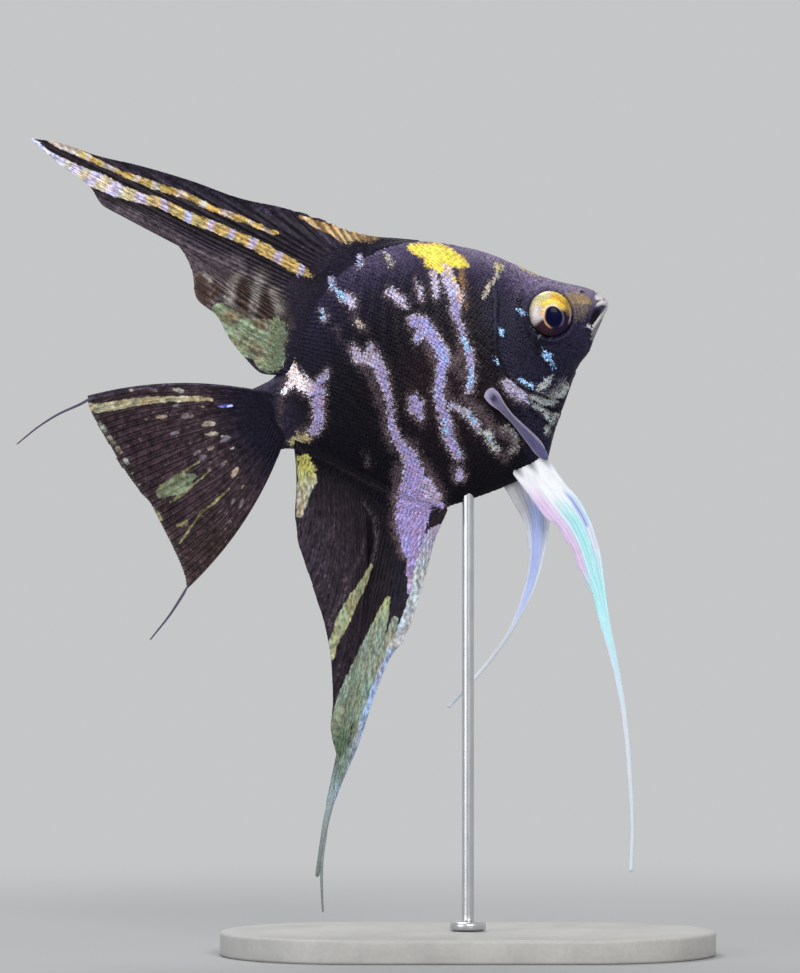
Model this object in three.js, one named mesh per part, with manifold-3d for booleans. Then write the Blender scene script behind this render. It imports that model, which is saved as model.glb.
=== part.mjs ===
// A freshwater angelfish (Pterophyllum scalare, marbled) as a still, life-size display model on a stand.
// Millimetres, +Z up. The origin is the centre of the base's underside, and the fish faces +X.
// The fish is drawn level in a frame of its own: X runs forward from the root of the tail fin (0) to
// the mouth, Z is up its back and +Y is its left. The whole fish is then tipped nose up over the base.
import * as THREE from 'three';
import { mergeVertices } from 'three/addons/utils/BufferGeometryUtils.js';
import Module from 'manifold-3d';

const wasm = await Module();
wasm.setup();

// Driving dimensions.
const BODY_LENGTH = 91; // mouth to the root of the tail fin
const NOSE_UP = THREE.MathUtils.degToRad(18.5);
const ROOT_HEIGHT = 135; // the tail fin's root, over the floor
const ROOT_BEHIND = 51.5; // the tail fin's root, behind the rod
const GAP = 0.3; // between neighbouring pieces
const SPECK = 0.02; // corners closer than this are one
const WIDE = 40; // reaches past the fish on either side
const KEEL_SHARPNESS = 1.3; // 1 makes the body's section an ellipse, more a sharper back and belly
const TAIL_END = -1.5; // the body's flesh ends a little inside the tail fin
const BASE = { length: 124, width: 68, thick: 6, bevel: 0.8 };
const ROD = { radius: 1.5, collar: 4.5, collarHeight: 2.5, top: 121 };
const EYE = { x: 76.2, z: 0.9, out: 4.5, radius: 5.5, height: 5.9, depth: 3.2 };

const point = (x, z) => new THREE.Vector2(x, z);

// ---------------------------------------------------------------- smooth functions

// A smooth function through [t, value] pairs with rising t. It turns only where the pairs do.
function smoothThrough(pairs) {
  const last = pairs.length - 1;
  const slopes = pairs.slice(1).map(([t, value], i) => (value - pairs[i][1]) / (t - pairs[i][0]));
  const tangents = pairs.map((_, i) => {
    if (i === 0) return slopes[0];
    if (i === last) return slopes[last - 1];
    const [before, after] = [slopes[i - 1], slopes[i]];
    return before * after <= 0 ? 0 : (2 * before * after) / (before + after);
  });
  return (t) => {
    const next = pairs.findIndex(([edge]) => edge > t);
    const i = next < 0 ? last - 1 : Math.max(0, next - 1);
    const width = pairs[i + 1][0] - pairs[i][0];
    const s = THREE.MathUtils.clamp((t - pairs[i][0]) / width, 0, 1);
    const from = pairs[i][1] * (1 + 2 * s) + tangents[i] * width * s;
    const to = pairs[i + 1][1] * (3 - 2 * s) - tangents[i + 1] * width * (1 - s);
    return from * (1 - s) ** 2 + to * s * s;
  };
}

// A smooth path through [t, x, z] triples, as a function of t.
function pathThrough(triples) {
  const x = smoothThrough(triples.map(([t, value]) => [t, value]));
  const z = smoothThrough(triples.map(([t, , value]) => [t, value]));
  return (t) => point(x(t), z(t));
}

// ---------------------------------------------------------------- solids

const FISH = new THREE.Matrix4()
  .makeTranslation(-ROOT_BEHIND, 0, ROOT_HEIGHT)
  .multiply(new THREE.Matrix4().makeRotationY(-NOSE_UP));

// A closed geometry as a manifold-3d solid, facing out.
function solid(geometry) {
  const bare = geometry.index ? geometry.toNonIndexed() : geometry.clone();
  bare.deleteAttribute('normal');
  bare.deleteAttribute('uv');
  const merged = mergeVertices(bare, 1e-4);
  const build = (triVerts) =>
    new wasm.Manifold(
      new wasm.Mesh({ numProp: 3, vertProperties: merged.attributes.position.array, triVerts }),
    );
  const index = new Uint32Array(merged.index.array);
  const made = build(index);
  return made.volume() > 0 ? made : build(index.reverse());
}

// A solid as a geometry, with the specks that cutting leaves closed up.
function geometryOf(made) {
  const mesh = made.getMesh();
  const raw = new THREE.BufferGeometry()
    .setAttribute('position', new THREE.BufferAttribute(mesh.vertProperties, 3))
    .setIndex(new THREE.BufferAttribute(mesh.triVerts, 1));
  const merged = mergeVertices(raw, SPECK);
  const index = [];
  for (let t = 0; t < merged.index.count; t += 3) {
    const [a, b, c] = [0, 1, 2].map((corner) => merged.index.getX(t + corner));
    if (a !== b && b !== c && c !== a) index.push(a, b, c);
  }
  return merged.setIndex(index);
}

// The bodies of a solid that was cut through, biggest first.
function bodiesOf(made) {
  return made.decompose().sort((a, b) => b.volume() - a.volume());
}

// A closed geometry from rings of points, each with the same even count. Either end is closed by a
// ladder of faces between the ring's two sides.
function loft(rings) {
  const count = rings[0].length;
  const last = (rings.length - 1) * count;
  const index = [];
  for (let start = 0; start < last; start += count) {
    for (let i = 0; i < count; i++) {
      const [a, b] = [start + i, start + ((i + 1) % count)];
      index.push(a, a + count, b, b, a + count, b + count);
    }
  }
  for (let i = 0; i + 1 < count / 2; i++) {
    const [a, b, c, d] = [i, i + 1, count - 2 - i, count - 1 - i];
    index.push(a, b, c, a, c, d, last + a, last + c, last + b, last + a, last + d, last + c);
  }
  return new THREE.BufferGeometry().setFromPoints(rings.flat()).setIndex(index);
}

// A thin sheet: middle(u, v) is its middle surface and half(u, v) half its thickness along normal.
function sheet(middle, half, normal, across, along) {
  const rings = [];
  for (let a = 0; a <= across; a++) {
    const u = a / across;
    const face = (side, v) => middle(u, v).addScaledVector(normal, side * half(u, v));
    rings.push([
      ...Array.from({ length: along + 1 }, (_, i) => face(1, i / along)),
      ...Array.from({ length: along + 1 }, (_, i) => face(-1, 1 - i / along)),
    ]);
  }
  return loft(rings);
}

// A tapering round filament along a list of points.
function filament(points, startRadius, endRadius) {
  const [sides, steps] = [6, 2 * points.length];
  const curve = new THREE.CatmullRomCurve3(points);
  const frames = curve.computeFrenetFrames(steps, false);
  const rings = [];
  for (let s = 0; s <= steps; s++) {
    const radius = THREE.MathUtils.lerp(startRadius, endRadius, s / steps);
    rings.push(
      Array.from({ length: sides }, (_, i) => {
        const turn = (i / sides) * 2 * Math.PI;
        return curve
          .getPointAt(s / steps)
          .addScaledVector(frames.normals[s], radius * Math.cos(turn))
          .addScaledVector(frames.binormals[s], radius * Math.sin(turn));
      }),
    );
  }
  return loft(rings);
}

// A flat outline in the fish's XZ plane, from y = low to y = high.
function prism(outline, low, high) {
  const options = { depth: high - low, bevelEnabled: false, curveSegments: 1 };
  return new THREE.ExtrudeGeometry(new THREE.Shape(outline), options)
    .rotateX(Math.PI / 2)
    .translate(0, high, 0);
}

// The line moved sideways by a distance: to its left, seen along it.
function offset(line, distance, closed = false) {
  const count = line.length;
  const leftOf = (i) => {
    const along = line[(i + 1) % count].clone().sub(line[(i + count) % count]).normalize();
    return point(-along.y, along.x);
  };
  return line.map((at, i) => {
    const after = leftOf(!closed && i === count - 1 ? i - 1 : i);
    const before = leftOf(!closed && i === 0 ? 0 : i - 1);
    const mitre = before.clone().add(after).divideScalar(1 + before.dot(after));
    return mitre.multiplyScalar(distance).add(at);
  });
}

// Parts a solid along a line, with a thin cut right through it. Gives the piece ahead, then the rest.
function partAlong(made, line) {
  const outline = [...offset(line, GAP / 2), ...offset(line, -GAP / 2).reverse()];
  const [a, b] = bodiesOf(made.subtract(solid(prism(outline, -WIDE, WIDE))));
  const middleX = (body) => body.boundingBox().min[0] + body.boundingBox().max[0];
  return middleX(a) > middleX(b) ? [a, b] : [b, a];
}

// Takes what lies inside an anticlockwise outline out of a solid. Gives the piece, then the rest.
function carve(made, outline, low, high) {
  const inner = prism(offset(outline, GAP, true), low + (low > 0 ? GAP : 0), high - (high < 0 ? GAP : 0));
  const piece = bodiesOf(made.intersect(solid(inner)))[0];
  const rest = bodiesOf(made.subtract(solid(prism(outline, low, high))))[0];
  return [piece, rest];
}

// ---------------------------------------------------------------- body

// Profiles of the back and of the belly, and half the body's width, each along X.
const back = smoothThrough([
  [TAIL_END, 6.9], [4, 7.6], [10, 10.4], [16, 18.2], [24, 25.4], [32, 29.5], [41, 30.4], [50, 29],
  [58, 25.7], [66, 20.9], [72, 15.7], [78, 10.4], [83, 7.1], [87, 4.6], [89.8, 2.1], [BODY_LENGTH, 0.4],
]);
const belly = smoothThrough([
  [TAIL_END, -9.4], [3, -10], [8, -12.8], [20, -24.8], [30, -33.8], [36, -36.6], [46, -36.6],
  [58, -35.9], [62.5, -34.8], [68.5, -26.9], [74.8, -18.8], [79.4, -13.3], [82.4, -11.3],
  [83.9, -9.5], [86, -7.1], [88, -5], [89.5, -3], [BODY_LENGTH, -1.1],
]);
const halfWidth = smoothThrough([
  [TAIL_END, 1.5], [4, 2.2], [12, 3.1], [24, 4.9], [38, 6.9], [52, 7.8], [62, 7.7], [70, 7],
  [76, 6.2], [82, 4.9], [87, 3.3], [BODY_LENGTH, 1.5],
]);

// The body as a closed loft, or a little bigger all round.
function bodyLoft(grow) {
  const [stations, around] = [30, 24];
  const rings = [];
  for (let s = 0; s <= stations; s++) {
    const share = Math.sin((s / stations) * (Math.PI / 2)) ** 1.15; // closer together at the mouth
    const x = THREE.MathUtils.lerp(TAIL_END, BODY_LENGTH, share);
    const [top, bottom] = [back(x) + grow, belly(x) - grow];
    const end = s === 0 ? -grow : s === stations ? grow : 0;
    rings.push(
      Array.from({ length: around }, (_, i) => {
        const turn = ((i + 0.5) / around) * 2 * Math.PI; // up the left side and down the right
        const out = (halfWidth(x) + grow) * Math.abs(Math.sin(turn)) ** KEEL_SHARPNESS;
        const z = (top + bottom) / 2 - ((top - bottom) / 2) * Math.cos(turn);
        return new THREE.Vector3(x + end, Math.sign(Math.sin(turn)) * out, z);
      }),
    );
  }
  return loft(rings);
}

// How far out the body's skin lies at a place on its side.
function sideAt(x, z) {
  const middle = (back(x) + belly(x)) / 2;
  const share = THREE.MathUtils.clamp((z - middle) / ((back(x) - belly(x)) / 2), -1, 1);
  return halfWidth(x) * (1 - share * share) ** (KEEL_SHARPNESS / 2);
}

const GILL_SLIT = [
  point(65, 40), point(65.2, 16), point(64.6, 9), point(62.4, 2), point(60.4, -5), point(60.9, -10),
  point(64, -14.6), point(69, -18.6), point(74, -21.6), point(80, -25),
];
const STALK_CUT = [point(12.4, 40), point(11.6, 8), point(11.6, -8), point(13, -40)];
const GILL_COVER = [
  point(65.4, 9), point(63.2, 2), point(61.2, -5), point(61.7, -9.6), point(64.6, -13.9),
  point(69.4, -17.8), point(72.6, -17.6), point(71.8, -12), point(70.4, -6), point(69.4, 0), point(68, 7),
];
const GILL_COVER_INNER = 3.6; // how far from the middle plane its inner face lies
const LOWER_JAW = [
  point(81, -14), point(96, -14), point(96, 0.9), point(91.5, -0.3), point(85.4, -4.7), point(81.6, -7.8),
];
const UPPER_JAW = [point(85.6, -4.4), point(96, 3), point(96, 9), point(88.6, 9), point(86.8, 1.2)];

// An eyeball, or a little bigger all round. side is 1 for the left.
function eyeball(side, grow) {
  return new THREE.SphereGeometry(1, 18, 10)
    .rotateX(Math.PI / 2)
    .scale(EYE.radius + grow, EYE.depth + grow, EYE.height + grow)
    .translate(EYE.x, side * EYE.out, EYE.z);
}

// The rod in the fish's own frame, or a wider one.
function rodInFish(grow) {
  return new THREE.CylinderGeometry(ROD.radius + grow, ROD.radius + grow, ROD.top + grow, 20)
    .rotateX(Math.PI / 2)
    .translate(0, 0, (ROD.top + grow) / 2)
    .applyMatrix4(FISH.clone().invert());
}

function bodyPieces() {
  const pieces = {};
  const whole = solid(bodyLoft(0)).subtract(solid(rodInFish(GAP)));
  const [front, behind] = partAlong(whole, GILL_SLIT);
  [pieces.trunk, pieces.tail_stalk] = partAlong(behind, STALK_CUT);
  let head = front;
  for (const [name, side] of [['left', 1], ['right', -1]]) {
    const [low, high] = side > 0 ? [GILL_COVER_INNER, WIDE] : [-WIDE, -GILL_COVER_INNER];
    [pieces[`gill_cover_${name}`], head] = carve(head, GILL_COVER, low, high);
    head = bodiesOf(head.subtract(solid(eyeball(side, GAP))))[0];
    pieces[`eye_${name}`] = solid(eyeball(side, 0));
  }
  [pieces.lower_jaw, head] = carve(head, LOWER_JAW, -WIDE, WIDE);
  [pieces.upper_jaw, pieces.head] = carve(head, UPPER_JAW, -WIDE, WIDE);
  return pieces;
}

// ---------------------------------------------------------------- fins

const ROOT_DEPTH = 3; // how far a fin's root starts inside the body, before it is trimmed to the skin
const EDGE_HALF = 0.28; // half a fin's thickness at its edge

// A median fin, fanned from its root line to its edge, where each ray bows forward by bow(u).
function fan({ root, edge, bow, sway, rootHalf, across, along }) {
  const middle = (u, v) => {
    const [from, to] = [root(u), edge(u)];
    const chord = to.clone().sub(from);
    const flat = from.addScaledVector(chord, v);
    const push = (4 * v * (1 - v) * bow(u)) / Math.max(chord.length(), 1);
    return new THREE.Vector3(flat.x - chord.y * push, sway(u, v), flat.y + chord.x * push);
  };
  const half = (u, v) => THREE.MathUtils.lerp(rootHalf, EDGE_HALF, 1 - (1 - v) ** 2.5);
  return sheet(middle, half, new THREE.Vector3(0, 1, 0), across, along);
}

const DORSAL = {
  root: (u) => {
    const x = THREE.MathUtils.lerp(50, 9, u ** 0.8);
    return point(x, back(x) - ROOT_DEPTH);
  },
  edge: pathThrough([
    [0, 51, 29], [0.08, 45.5, 31.4], [0.15, 41, 33.3], [0.22, 34.6, 37.4], [0.27, 29.2, 42.1],
    [0.31, 21, 47.9], [0.34, 12.2, 53.1], [0.37, 1.6, 61.4], [0.4, -9.2, 68.9], [0.43, -19, 75],
    [0.46, -26.4, 80.6], [0.5, -33.4, 84.5], [0.55, -28.2, 75.6], [0.6, -22.8, 67.7], [0.63, -21.4, 62.6],
    [0.68, -16.5, 58.2], [0.73, -11.5, 53.8], [0.78, -7.2, 48.4], [0.82, -5.2, 41.2], [0.86, -6.3, 33.4],
    [0.9, -2.9, 26.8], [0.93, -1.7, 20.4], [0.96, 0.9, 13.6], [0.98, 3.4, 9.7], [1, 8, 8.4],
  ]),
  bow: (u) => 0.6 * Math.sin(Math.PI * u),
  sway: (u, v) => 2.2 * v * v * Math.sin(Math.PI * (u + 0.6 * v)),
  rootHalf: 1.4,
  across: 37,
  along: 5,
};

const ANAL = {
  root: (u) => {
    const x = THREE.MathUtils.lerp(36.5, 5.5, u);
    return point(x, belly(x) + ROOT_DEPTH);
  },
  edge: pathThrough([
    [0, 36.4, -37.2], [0.05, 31, -43.4], [0.09, 27.6, -48.6], [0.13, 23.4, -55], [0.17, 14.8, -65.5],
    [0.18, 12.2, -67], [0.21, 4.7, -75.2], [0.25, -3.4, -86], [0.29, -9.4, -92.7], [0.33, -13.4, -97.5],
    [0.38, -17, -102], [0.43, -15.8, -97.6], [0.48, -13.6, -93.9], [0.52, -11.6, -91],
    [0.56, -9.5, -88], [0.6, -8.9, -81], [0.65, -6.2, -74], [0.7, -2.6, -60.5], [0.76, -1.7, -51],
    [0.82, -1.7, -43], [0.88, -1.7, -35], [0.93, -0.5, -27.5], [0.97, 2.3, -20], [1, 4.4, -13.4],
  ]),
  bow: (u) => 4.6 * Math.sin(Math.PI * u) * THREE.MathUtils.smoothstep(u, 0.36, 0.62),
  sway: (u, v) => -2 * v * v * Math.sin(Math.PI * (u + 0.4 * v)),
  rootHalf: 1.5,
  across: 40,
  along: 6,
};

const CAUDAL = {
  root: (u) => point(4, THREE.MathUtils.lerp(4.4, -6.8, u)),
  edge: pathThrough([
    [0, -40.2, 18.5], [0.08, -40.8, 15.6], [0.24, -39.4, 7.9], [0.4, -37.6, -1.1], [0.54, -35.2, -8.8],
    [0.6, -33.6, -12.2], [0.64, -33.2, -14.6], [0.8, -31.8, -24.2], [0.92, -31.2, -31], [1, -31.9, -35.5],
  ]),
  bow: (u) => -2.9 * Math.cos(Math.PI * u),
  sway: (u, v) => 3 * v * v * Math.cos(2.6 * u - 0.4),
  rootHalf: 1.2,
  across: 20,
  along: 6,
};

// The trailing threads at the tail fin's corners: points as [x, z].
const CAUDAL_THREADS = [
  { u: 0, route: [[-33, 17.4], [-38, 17.7], [-42.6, 17], [-47.7, 16.5], [-53.4, 15.2], [-60.8, 12.5]] },
  { u: 1, route: [[-27, -32], [-32, -35.8], [-37.8, -40.2], [-44.4, -44.5]] },
];
const CAUDAL_THREAD = { startRadius: 0.75, endRadius: 0.3 };

// The long filament the anal fin's tip draws out into.
const ANAL_THREADS = [
  {
    u: 0.38,
    route: [
      [-12.6, -94.6], [-16.7, -101.2], [-19.3, -106], [-21.1, -109.8], [-22.4, -113.6], [-23.7, -118.1],
      [-25, -122.9],
    ],
  },
];
const ANAL_THREAD = { startRadius: 1, endRadius: 0.4 };

// A median fin with threads drawn out from its edge.
function threadedFin(shape, threads, { startRadius, endRadius }) {
  let fin = solid(fan(shape));
  for (const { u, route } of threads) {
    const side = shape.sway(u, 1);
    const line = route.map(([x, z]) => new THREE.Vector3(x, side, z));
    fin = fin.add(solid(filament(line, startRadius, endRadius)));
  }
  return fin;
}

// A pelvic fin is a long ribbon between its leading and trailing edges, splayed out from the belly.
const PELVIC = {
  left: {
    lead: pathThrough([
      [0, 63, -30], [0.1, 62, -41], [0.2, 59.6, -48.6], [0.3, 56.6, -54.5], [0.4, 53.2, -60],
      [0.5, 49.1, -65.2], [0.6, 44.7, -69.5], [0.7, 39.4, -73.8], [0.8, 34.2, -77.4],
      [0.9, 27.7, -81.2], [1, 21.2, -84.8],
    ]),
    trail: pathThrough([
      [0, 50.4, -31], [0.1, 52.6, -40.5], [0.2, 53.6, -46.5], [0.28, 53, -51], [0.36, 51.4, -56.2],
      [0.44, 49, -60.8], [0.52, 45.4, -65.8], [0.6, 41.4, -70.6], [0.7, 36.4, -74.6],
      [0.8, 30.8, -78.3], [0.9, 25.7, -81.3], [1, 20.6, -84.2],
    ]),
    spread: 8,
  },
  right: {
    lead: pathThrough([
      [0, 63.6, -30], [0.06, 66.4, -40.2], [0.11, 68.6, -45.5], [0.17, 69.5, -52.3], [0.23, 69.2, -58.7],
      [0.31, 67.8, -66.5], [0.4, 66.2, -75], [0.5, 64.9, -85], [0.6, 63.4, -95], [0.7, 61.4, -105],
      [0.8, 58.8, -115], [0.9, 55.6, -126], [1, 51.6, -137],
    ]),
    trail: pathThrough([
      [0, 53.6, -30.6], [0.06, 56.8, -40], [0.11, 58.8, -46.4], [0.16, 61, -51], [0.22, 62.4, -57],
      [0.28, 62.7, -63], [0.32, 63.7, -67], [0.4, 63.3, -75.6], [0.5, 62.9, -85.4], [0.6, 61.8, -95.4],
      [0.7, 59.9, -105.4], [0.8, 57.4, -115.4], [0.9, 54.4, -126.4], [1, 50.5, -136.8],
    ]),
    spread: 9,
  },
};
const PELVIC_ROOT_OUT = 1.5;
const SPINE_END = 0.2; // how far down its leading edge the stiff spine reaches
const FEELER_START = { right: 0.45, left: 0.55 }; // where the blade gives way to the long feeler

function pelvicFin(name, side) {
  const { lead, trail, spread } = PELVIC[name];
  const outAt = (v) => side * (PELVIC_ROOT_OUT + spread * Math.sin((v * Math.PI) / 2));
  const middle = (u, v) => {
    const flat = lead(v).lerp(trail(v), u);
    return new THREE.Vector3(flat.x, outAt(v), flat.y);
  };
  const spine = (u, v) => 0.5 * (1 - u) ** 3 * THREE.MathUtils.smoothstep(SPINE_END - v, 0, 0.08);
  const half = (u, v) => 0.3 + 0.3 * Math.sin(Math.PI * u) + 0.25 * (1 - v) ** 3 + spine(u, v);
  const across = new THREE.Vector3(0, 1, 0);
  const split = FEELER_START[name];
  const part = (from, to) => sheet((u, v) => middle(u, from + (to - from) * v), half, across, 4, 12);
  const cut = GAP / 2 / 110; // half a gap, as a share of the fin's length
  return {
    [`pelvic_fin_${name}`]: solid(part(0, split - cut)),
    [`pelvic_feeler_${name}`]: solid(part(split + cut, 1)),
  };
}

// A pectoral fin stands out from the flank and sweeps down and forward, nearly edge on from the side.
const PECTORAL = { x: 55.8, z: -13.4, forward: 7.6, down: 20.6, out: 13, rootWidth: 3.4, width: 10 };

function pectoralFin(side) {
  const { x, z, forward, down, out, rootWidth, width } = PECTORAL;
  const rootY = side * (sideAt(x, z) - 1.6);
  const root = new THREE.Vector3(x, rootY, z);
  const along = new THREE.Vector3(forward, side * out, -down);
  const length = along.length();
  const axis = along.clone().normalize();
  const across = new THREE.Vector3(0, 1, 0).cross(axis).normalize().cross(axis).multiplyScalar(side);
  const normal = axis.clone().cross(across).normalize();
  const tilt = (v) => 0.9 * (1 - v) ** 8 + 0.06 * v + 0.16; // its turn towards the side view
  const middle = (u, v) => {
    const wide = (rootWidth + (width - rootWidth) * Math.sin(v * 1.9)) * (u - 0.5);
    const reach = length * v * (1 - 0.22 * (2 * u - 1) ** 2 * v);
    return root
      .clone()
      .addScaledVector(axis, reach)
      .addScaledVector(across, wide * Math.cos(tilt(v)))
      .addScaledVector(normal, wide * Math.sin(tilt(v)));
  };
  const half = (u, v) => 0.3 + 0.35 * (1 - v) ** 2;
  return solid(sheet(middle, half, normal, 6, 6));
}

function finPieces() {
  const pieces = {
    dorsal_fin: solid(fan(DORSAL)),
    anal_fin: threadedFin(ANAL, ANAL_THREADS, ANAL_THREAD),
    caudal_fin: threadedFin(CAUDAL, CAUDAL_THREADS, CAUDAL_THREAD),
    pectoral_fin_left: pectoralFin(1),
    pectoral_fin_right: pectoralFin(-1),
    ...pelvicFin('left', 1),
    ...pelvicFin('right', -1),
  };
  const keepClear = solid(bodyLoft(GAP));
  for (const name of Object.keys(pieces)) {
    pieces[name] = bodiesOf(pieces[name].subtract(keepClear))[0];
  }
  return pieces;
}

// ---------------------------------------------------------------- stand

function standBase() {
  const { length, width, thick, bevel } = BASE;
  const [straight, radius] = [length / 2 - width / 2, width / 2 - bevel];
  const outline = new THREE.Shape()
    .absarc(straight, 0, radius, -Math.PI / 2, Math.PI / 2)
    .absarc(-straight, 0, radius, Math.PI / 2, (3 * Math.PI) / 2)
    .closePath();
  const options = { depth: thick - 2 * bevel, bevelThickness: bevel, bevelSize: bevel, bevelSegments: 2 };
  return new THREE.ExtrudeGeometry(outline, { ...options, curveSegments: 8 }).translate(0, 0, bevel);
}

function standRod() {
  const { radius, collar, collarHeight, top } = ROD;
  const foot = BASE.thick + GAP;
  const profile = [
    point(0, foot), point(collar, foot), point(collar, foot + collarHeight * 0.6),
    point(collar - 0.6, foot + collarHeight), point(radius, foot + collarHeight), point(radius, top),
    point(0, top),
  ];
  return new THREE.LatheGeometry(profile, 20).rotateX(Math.PI / 2);
}

// ---------------------------------------------------------------- the model

const LOOKS = {
  skin: { color: 0x1c1826, roughness: 0.45 },
  marble: { color: 0x8f86b8, roughness: 0.4 },
  eye: { color: 0xe0a43a, roughness: 0.15 },
  fin: { color: 0x2b2430, roughness: 0.5 },
  pearl: { color: 0xc4d6ea, roughness: 0.4 },
  base: { color: 0xd9d8d4, roughness: 0.5 },
  steel: { color: 0xb8bbc0, roughness: 0.3, metalness: 1 },
};
const LOOK_OF = {
  eye_left: 'eye', eye_right: 'eye', dorsal_fin: 'fin', anal_fin: 'fin', caudal_fin: 'fin',
  pectoral_fin_left: 'marble', pectoral_fin_right: 'marble', pelvic_fin_left: 'pearl',
  pelvic_fin_right: 'pearl', pelvic_feeler_left: 'pearl', pelvic_feeler_right: 'pearl',
};

function named(name, geometry, look) {
  const mesh = new THREE.Mesh(geometry, new THREE.MeshStandardMaterial(LOOKS[look]));
  mesh.name = name;
  return mesh;
}

const fish = new THREE.Group();
fish.rotation.y = -NOSE_UP;
fish.position.set(-ROOT_BEHIND, 0, ROOT_HEIGHT);
for (const [name, made] of Object.entries({ ...bodyPieces(), ...finPieces() })) {
  fish.add(named(name, geometryOf(made), LOOK_OF[name] ?? 'skin'));
}

const stand = new THREE.Group();
stand.add(named('stand_base', standBase(), 'base'), named('stand_rod', standRod(), 'steel'));

const model = new THREE.Group();
model.add(fish, stand);
export default model;
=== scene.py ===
"""A freshwater angelfish, marbled black, pearl and gold, as a still model on a display stand.

Shapes are drawn in the fish's own frame in millimetres: X runs forward from the tail fin's root to
the mouth, Z is up the back and +Y is its left. `world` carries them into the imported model's frame.
"""

import math

import bpy
import numpy as np
from mathutils import Matrix, Vector

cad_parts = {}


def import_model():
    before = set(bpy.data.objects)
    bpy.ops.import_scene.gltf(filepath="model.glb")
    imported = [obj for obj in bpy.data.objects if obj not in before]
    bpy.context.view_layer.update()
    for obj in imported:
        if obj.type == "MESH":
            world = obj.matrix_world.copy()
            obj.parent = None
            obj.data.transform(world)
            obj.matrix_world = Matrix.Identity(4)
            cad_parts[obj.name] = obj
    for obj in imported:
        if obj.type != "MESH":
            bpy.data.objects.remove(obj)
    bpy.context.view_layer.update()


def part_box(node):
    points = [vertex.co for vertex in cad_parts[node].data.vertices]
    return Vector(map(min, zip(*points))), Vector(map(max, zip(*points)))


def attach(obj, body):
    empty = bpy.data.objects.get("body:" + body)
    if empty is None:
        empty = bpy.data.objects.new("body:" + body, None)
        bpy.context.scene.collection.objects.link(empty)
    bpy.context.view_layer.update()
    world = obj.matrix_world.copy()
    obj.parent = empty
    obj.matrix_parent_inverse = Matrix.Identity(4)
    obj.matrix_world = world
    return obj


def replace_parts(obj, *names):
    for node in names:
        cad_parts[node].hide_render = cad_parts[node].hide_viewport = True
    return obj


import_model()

MM = 0.001
NOSE_UP = math.radians(18.5)
EYE = np.array([76.2, 0.9])  # an eye's middle, forward and up
EYE_TALL = 1.07  # an eye's height over its length
SKIN_IN = 0.16  # how far the bare skin lies inside the solids, for the coat of scales
SEED = 7
FAR = 1e9  # further than any two places on the fish
OUTSIDE = -9.0  # a mark's depth, in mm, where there is none
SIDES = ((-1, "right"), (1, "left"))

TURN = Matrix.Rotation(-NOSE_UP, 3, "Y")
eye_corners = [Vector(c) for _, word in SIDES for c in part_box(f"eye_{word}")]
ROOT = sum(eye_corners, Vector()) / len(eye_corners) - TURN @ Vector((EYE[0], 0, EYE[1])) * MM


def world(co):
    """Fish-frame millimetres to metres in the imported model's frame."""
    return co @ np.array(TURN).T * MM + np.array(ROOT)


# ---------------------------------------------------------------- smooth functions


def smooth_through(pairs):
    """A smooth function through (t, value) pairs with rising t, which turns only where they do."""
    t, y = np.array(pairs, float).T
    width = np.diff(t)
    slope = np.diff(y) / width
    tangent = np.empty_like(y)
    tangent[0], tangent[-1] = slope[0], slope[-1]
    product = slope[:-1] * slope[1:]
    total = slope[:-1] + slope[1:]
    tangent[1:-1] = np.where(product <= 0, 0, 2 * product / np.where(total == 0, 1, total))

    def at(v):
        v = np.asarray(v, float)
        i = np.clip(np.searchsorted(t, v, side="right") - 1, 0, len(width) - 1)
        s = np.clip((v - t[i]) / width[i], 0, 1)
        low = y[i] * (1 + 2 * s) + tangent[i] * width[i] * s
        high = y[i + 1] * (3 - 2 * s) - tangent[i + 1] * width[i] * (1 - s)
        return low * (1 - s) ** 2 + high * s * s

    return at


def joined(*parts):
    """Coordinates of one grid of places, put together as its last axis."""
    return np.stack(np.broadcast_arrays(*parts), -1)


def path_through(triples):
    """A smooth path through (t, x, z) triples, as a function of t that gives [..., 2]."""
    x = smooth_through([(t, x) for t, x, _ in triples])
    z = smooth_through([(t, z) for t, _, z in triples])
    return lambda t: joined(x(t), z(t))


def ease(v, low, high):
    """A smooth step from 0 at low to 1 at high."""
    s = np.clip((np.asarray(v, float) - low) / (high - low), 0, 1)
    return s * s * (3 - 2 * s)


def hump(v, width):
    """A smooth bump round 0, 1 high."""
    return np.exp(-((v / width) ** 2))


def mix(a, b, t):
    return a + (b - a) * t


def from_leg(x, z, start, end):
    """The share along a straight leg that lies nearest each place, and the steps from there to the place."""
    dx, dz = end[0] - start[0], end[1] - start[1]
    share = np.clip(((x - start[0]) * dx + (z - start[1]) * dz) / max(dx * dx + dz * dz, 1 / FAR), 0, 1)
    return share, x - start[0] - share * dx, z - start[1] - share * dz


def depth_in(x, z, chain):
    """How deep a point lies inside a chain of circles (x, z, r) joined up, in mm; below 0 outside."""
    best = np.full(np.shape(x), -FAR)
    for start, end in zip(chain, chain[1:] or chain):
        share, gx, gz = from_leg(x, z, start, end)
        best = np.maximum(best, start[2] + (end[2] - start[2]) * share - np.hypot(gx, gz))
    return best


def deepest(x, z, chains):
    return np.max([depth_in(x, z, chain) for chain in chains], axis=0)


def along_chain(x, z, chain):
    """How far along a chain of circles the nearest place is, from its first circle."""
    run, best, at = 0.0, np.full(np.shape(x), FAR), np.zeros(np.shape(x))
    for start, end in zip(chain, chain[1:]):
        share, gx, gz = from_leg(x, z, start, end)
        size, gap = math.dist(start[:2], end[:2]), np.hypot(gx, gz)
        at = np.where(gap < best, run + share * size, at)
        best = np.minimum(best, gap)
        run += size
    return at


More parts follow.
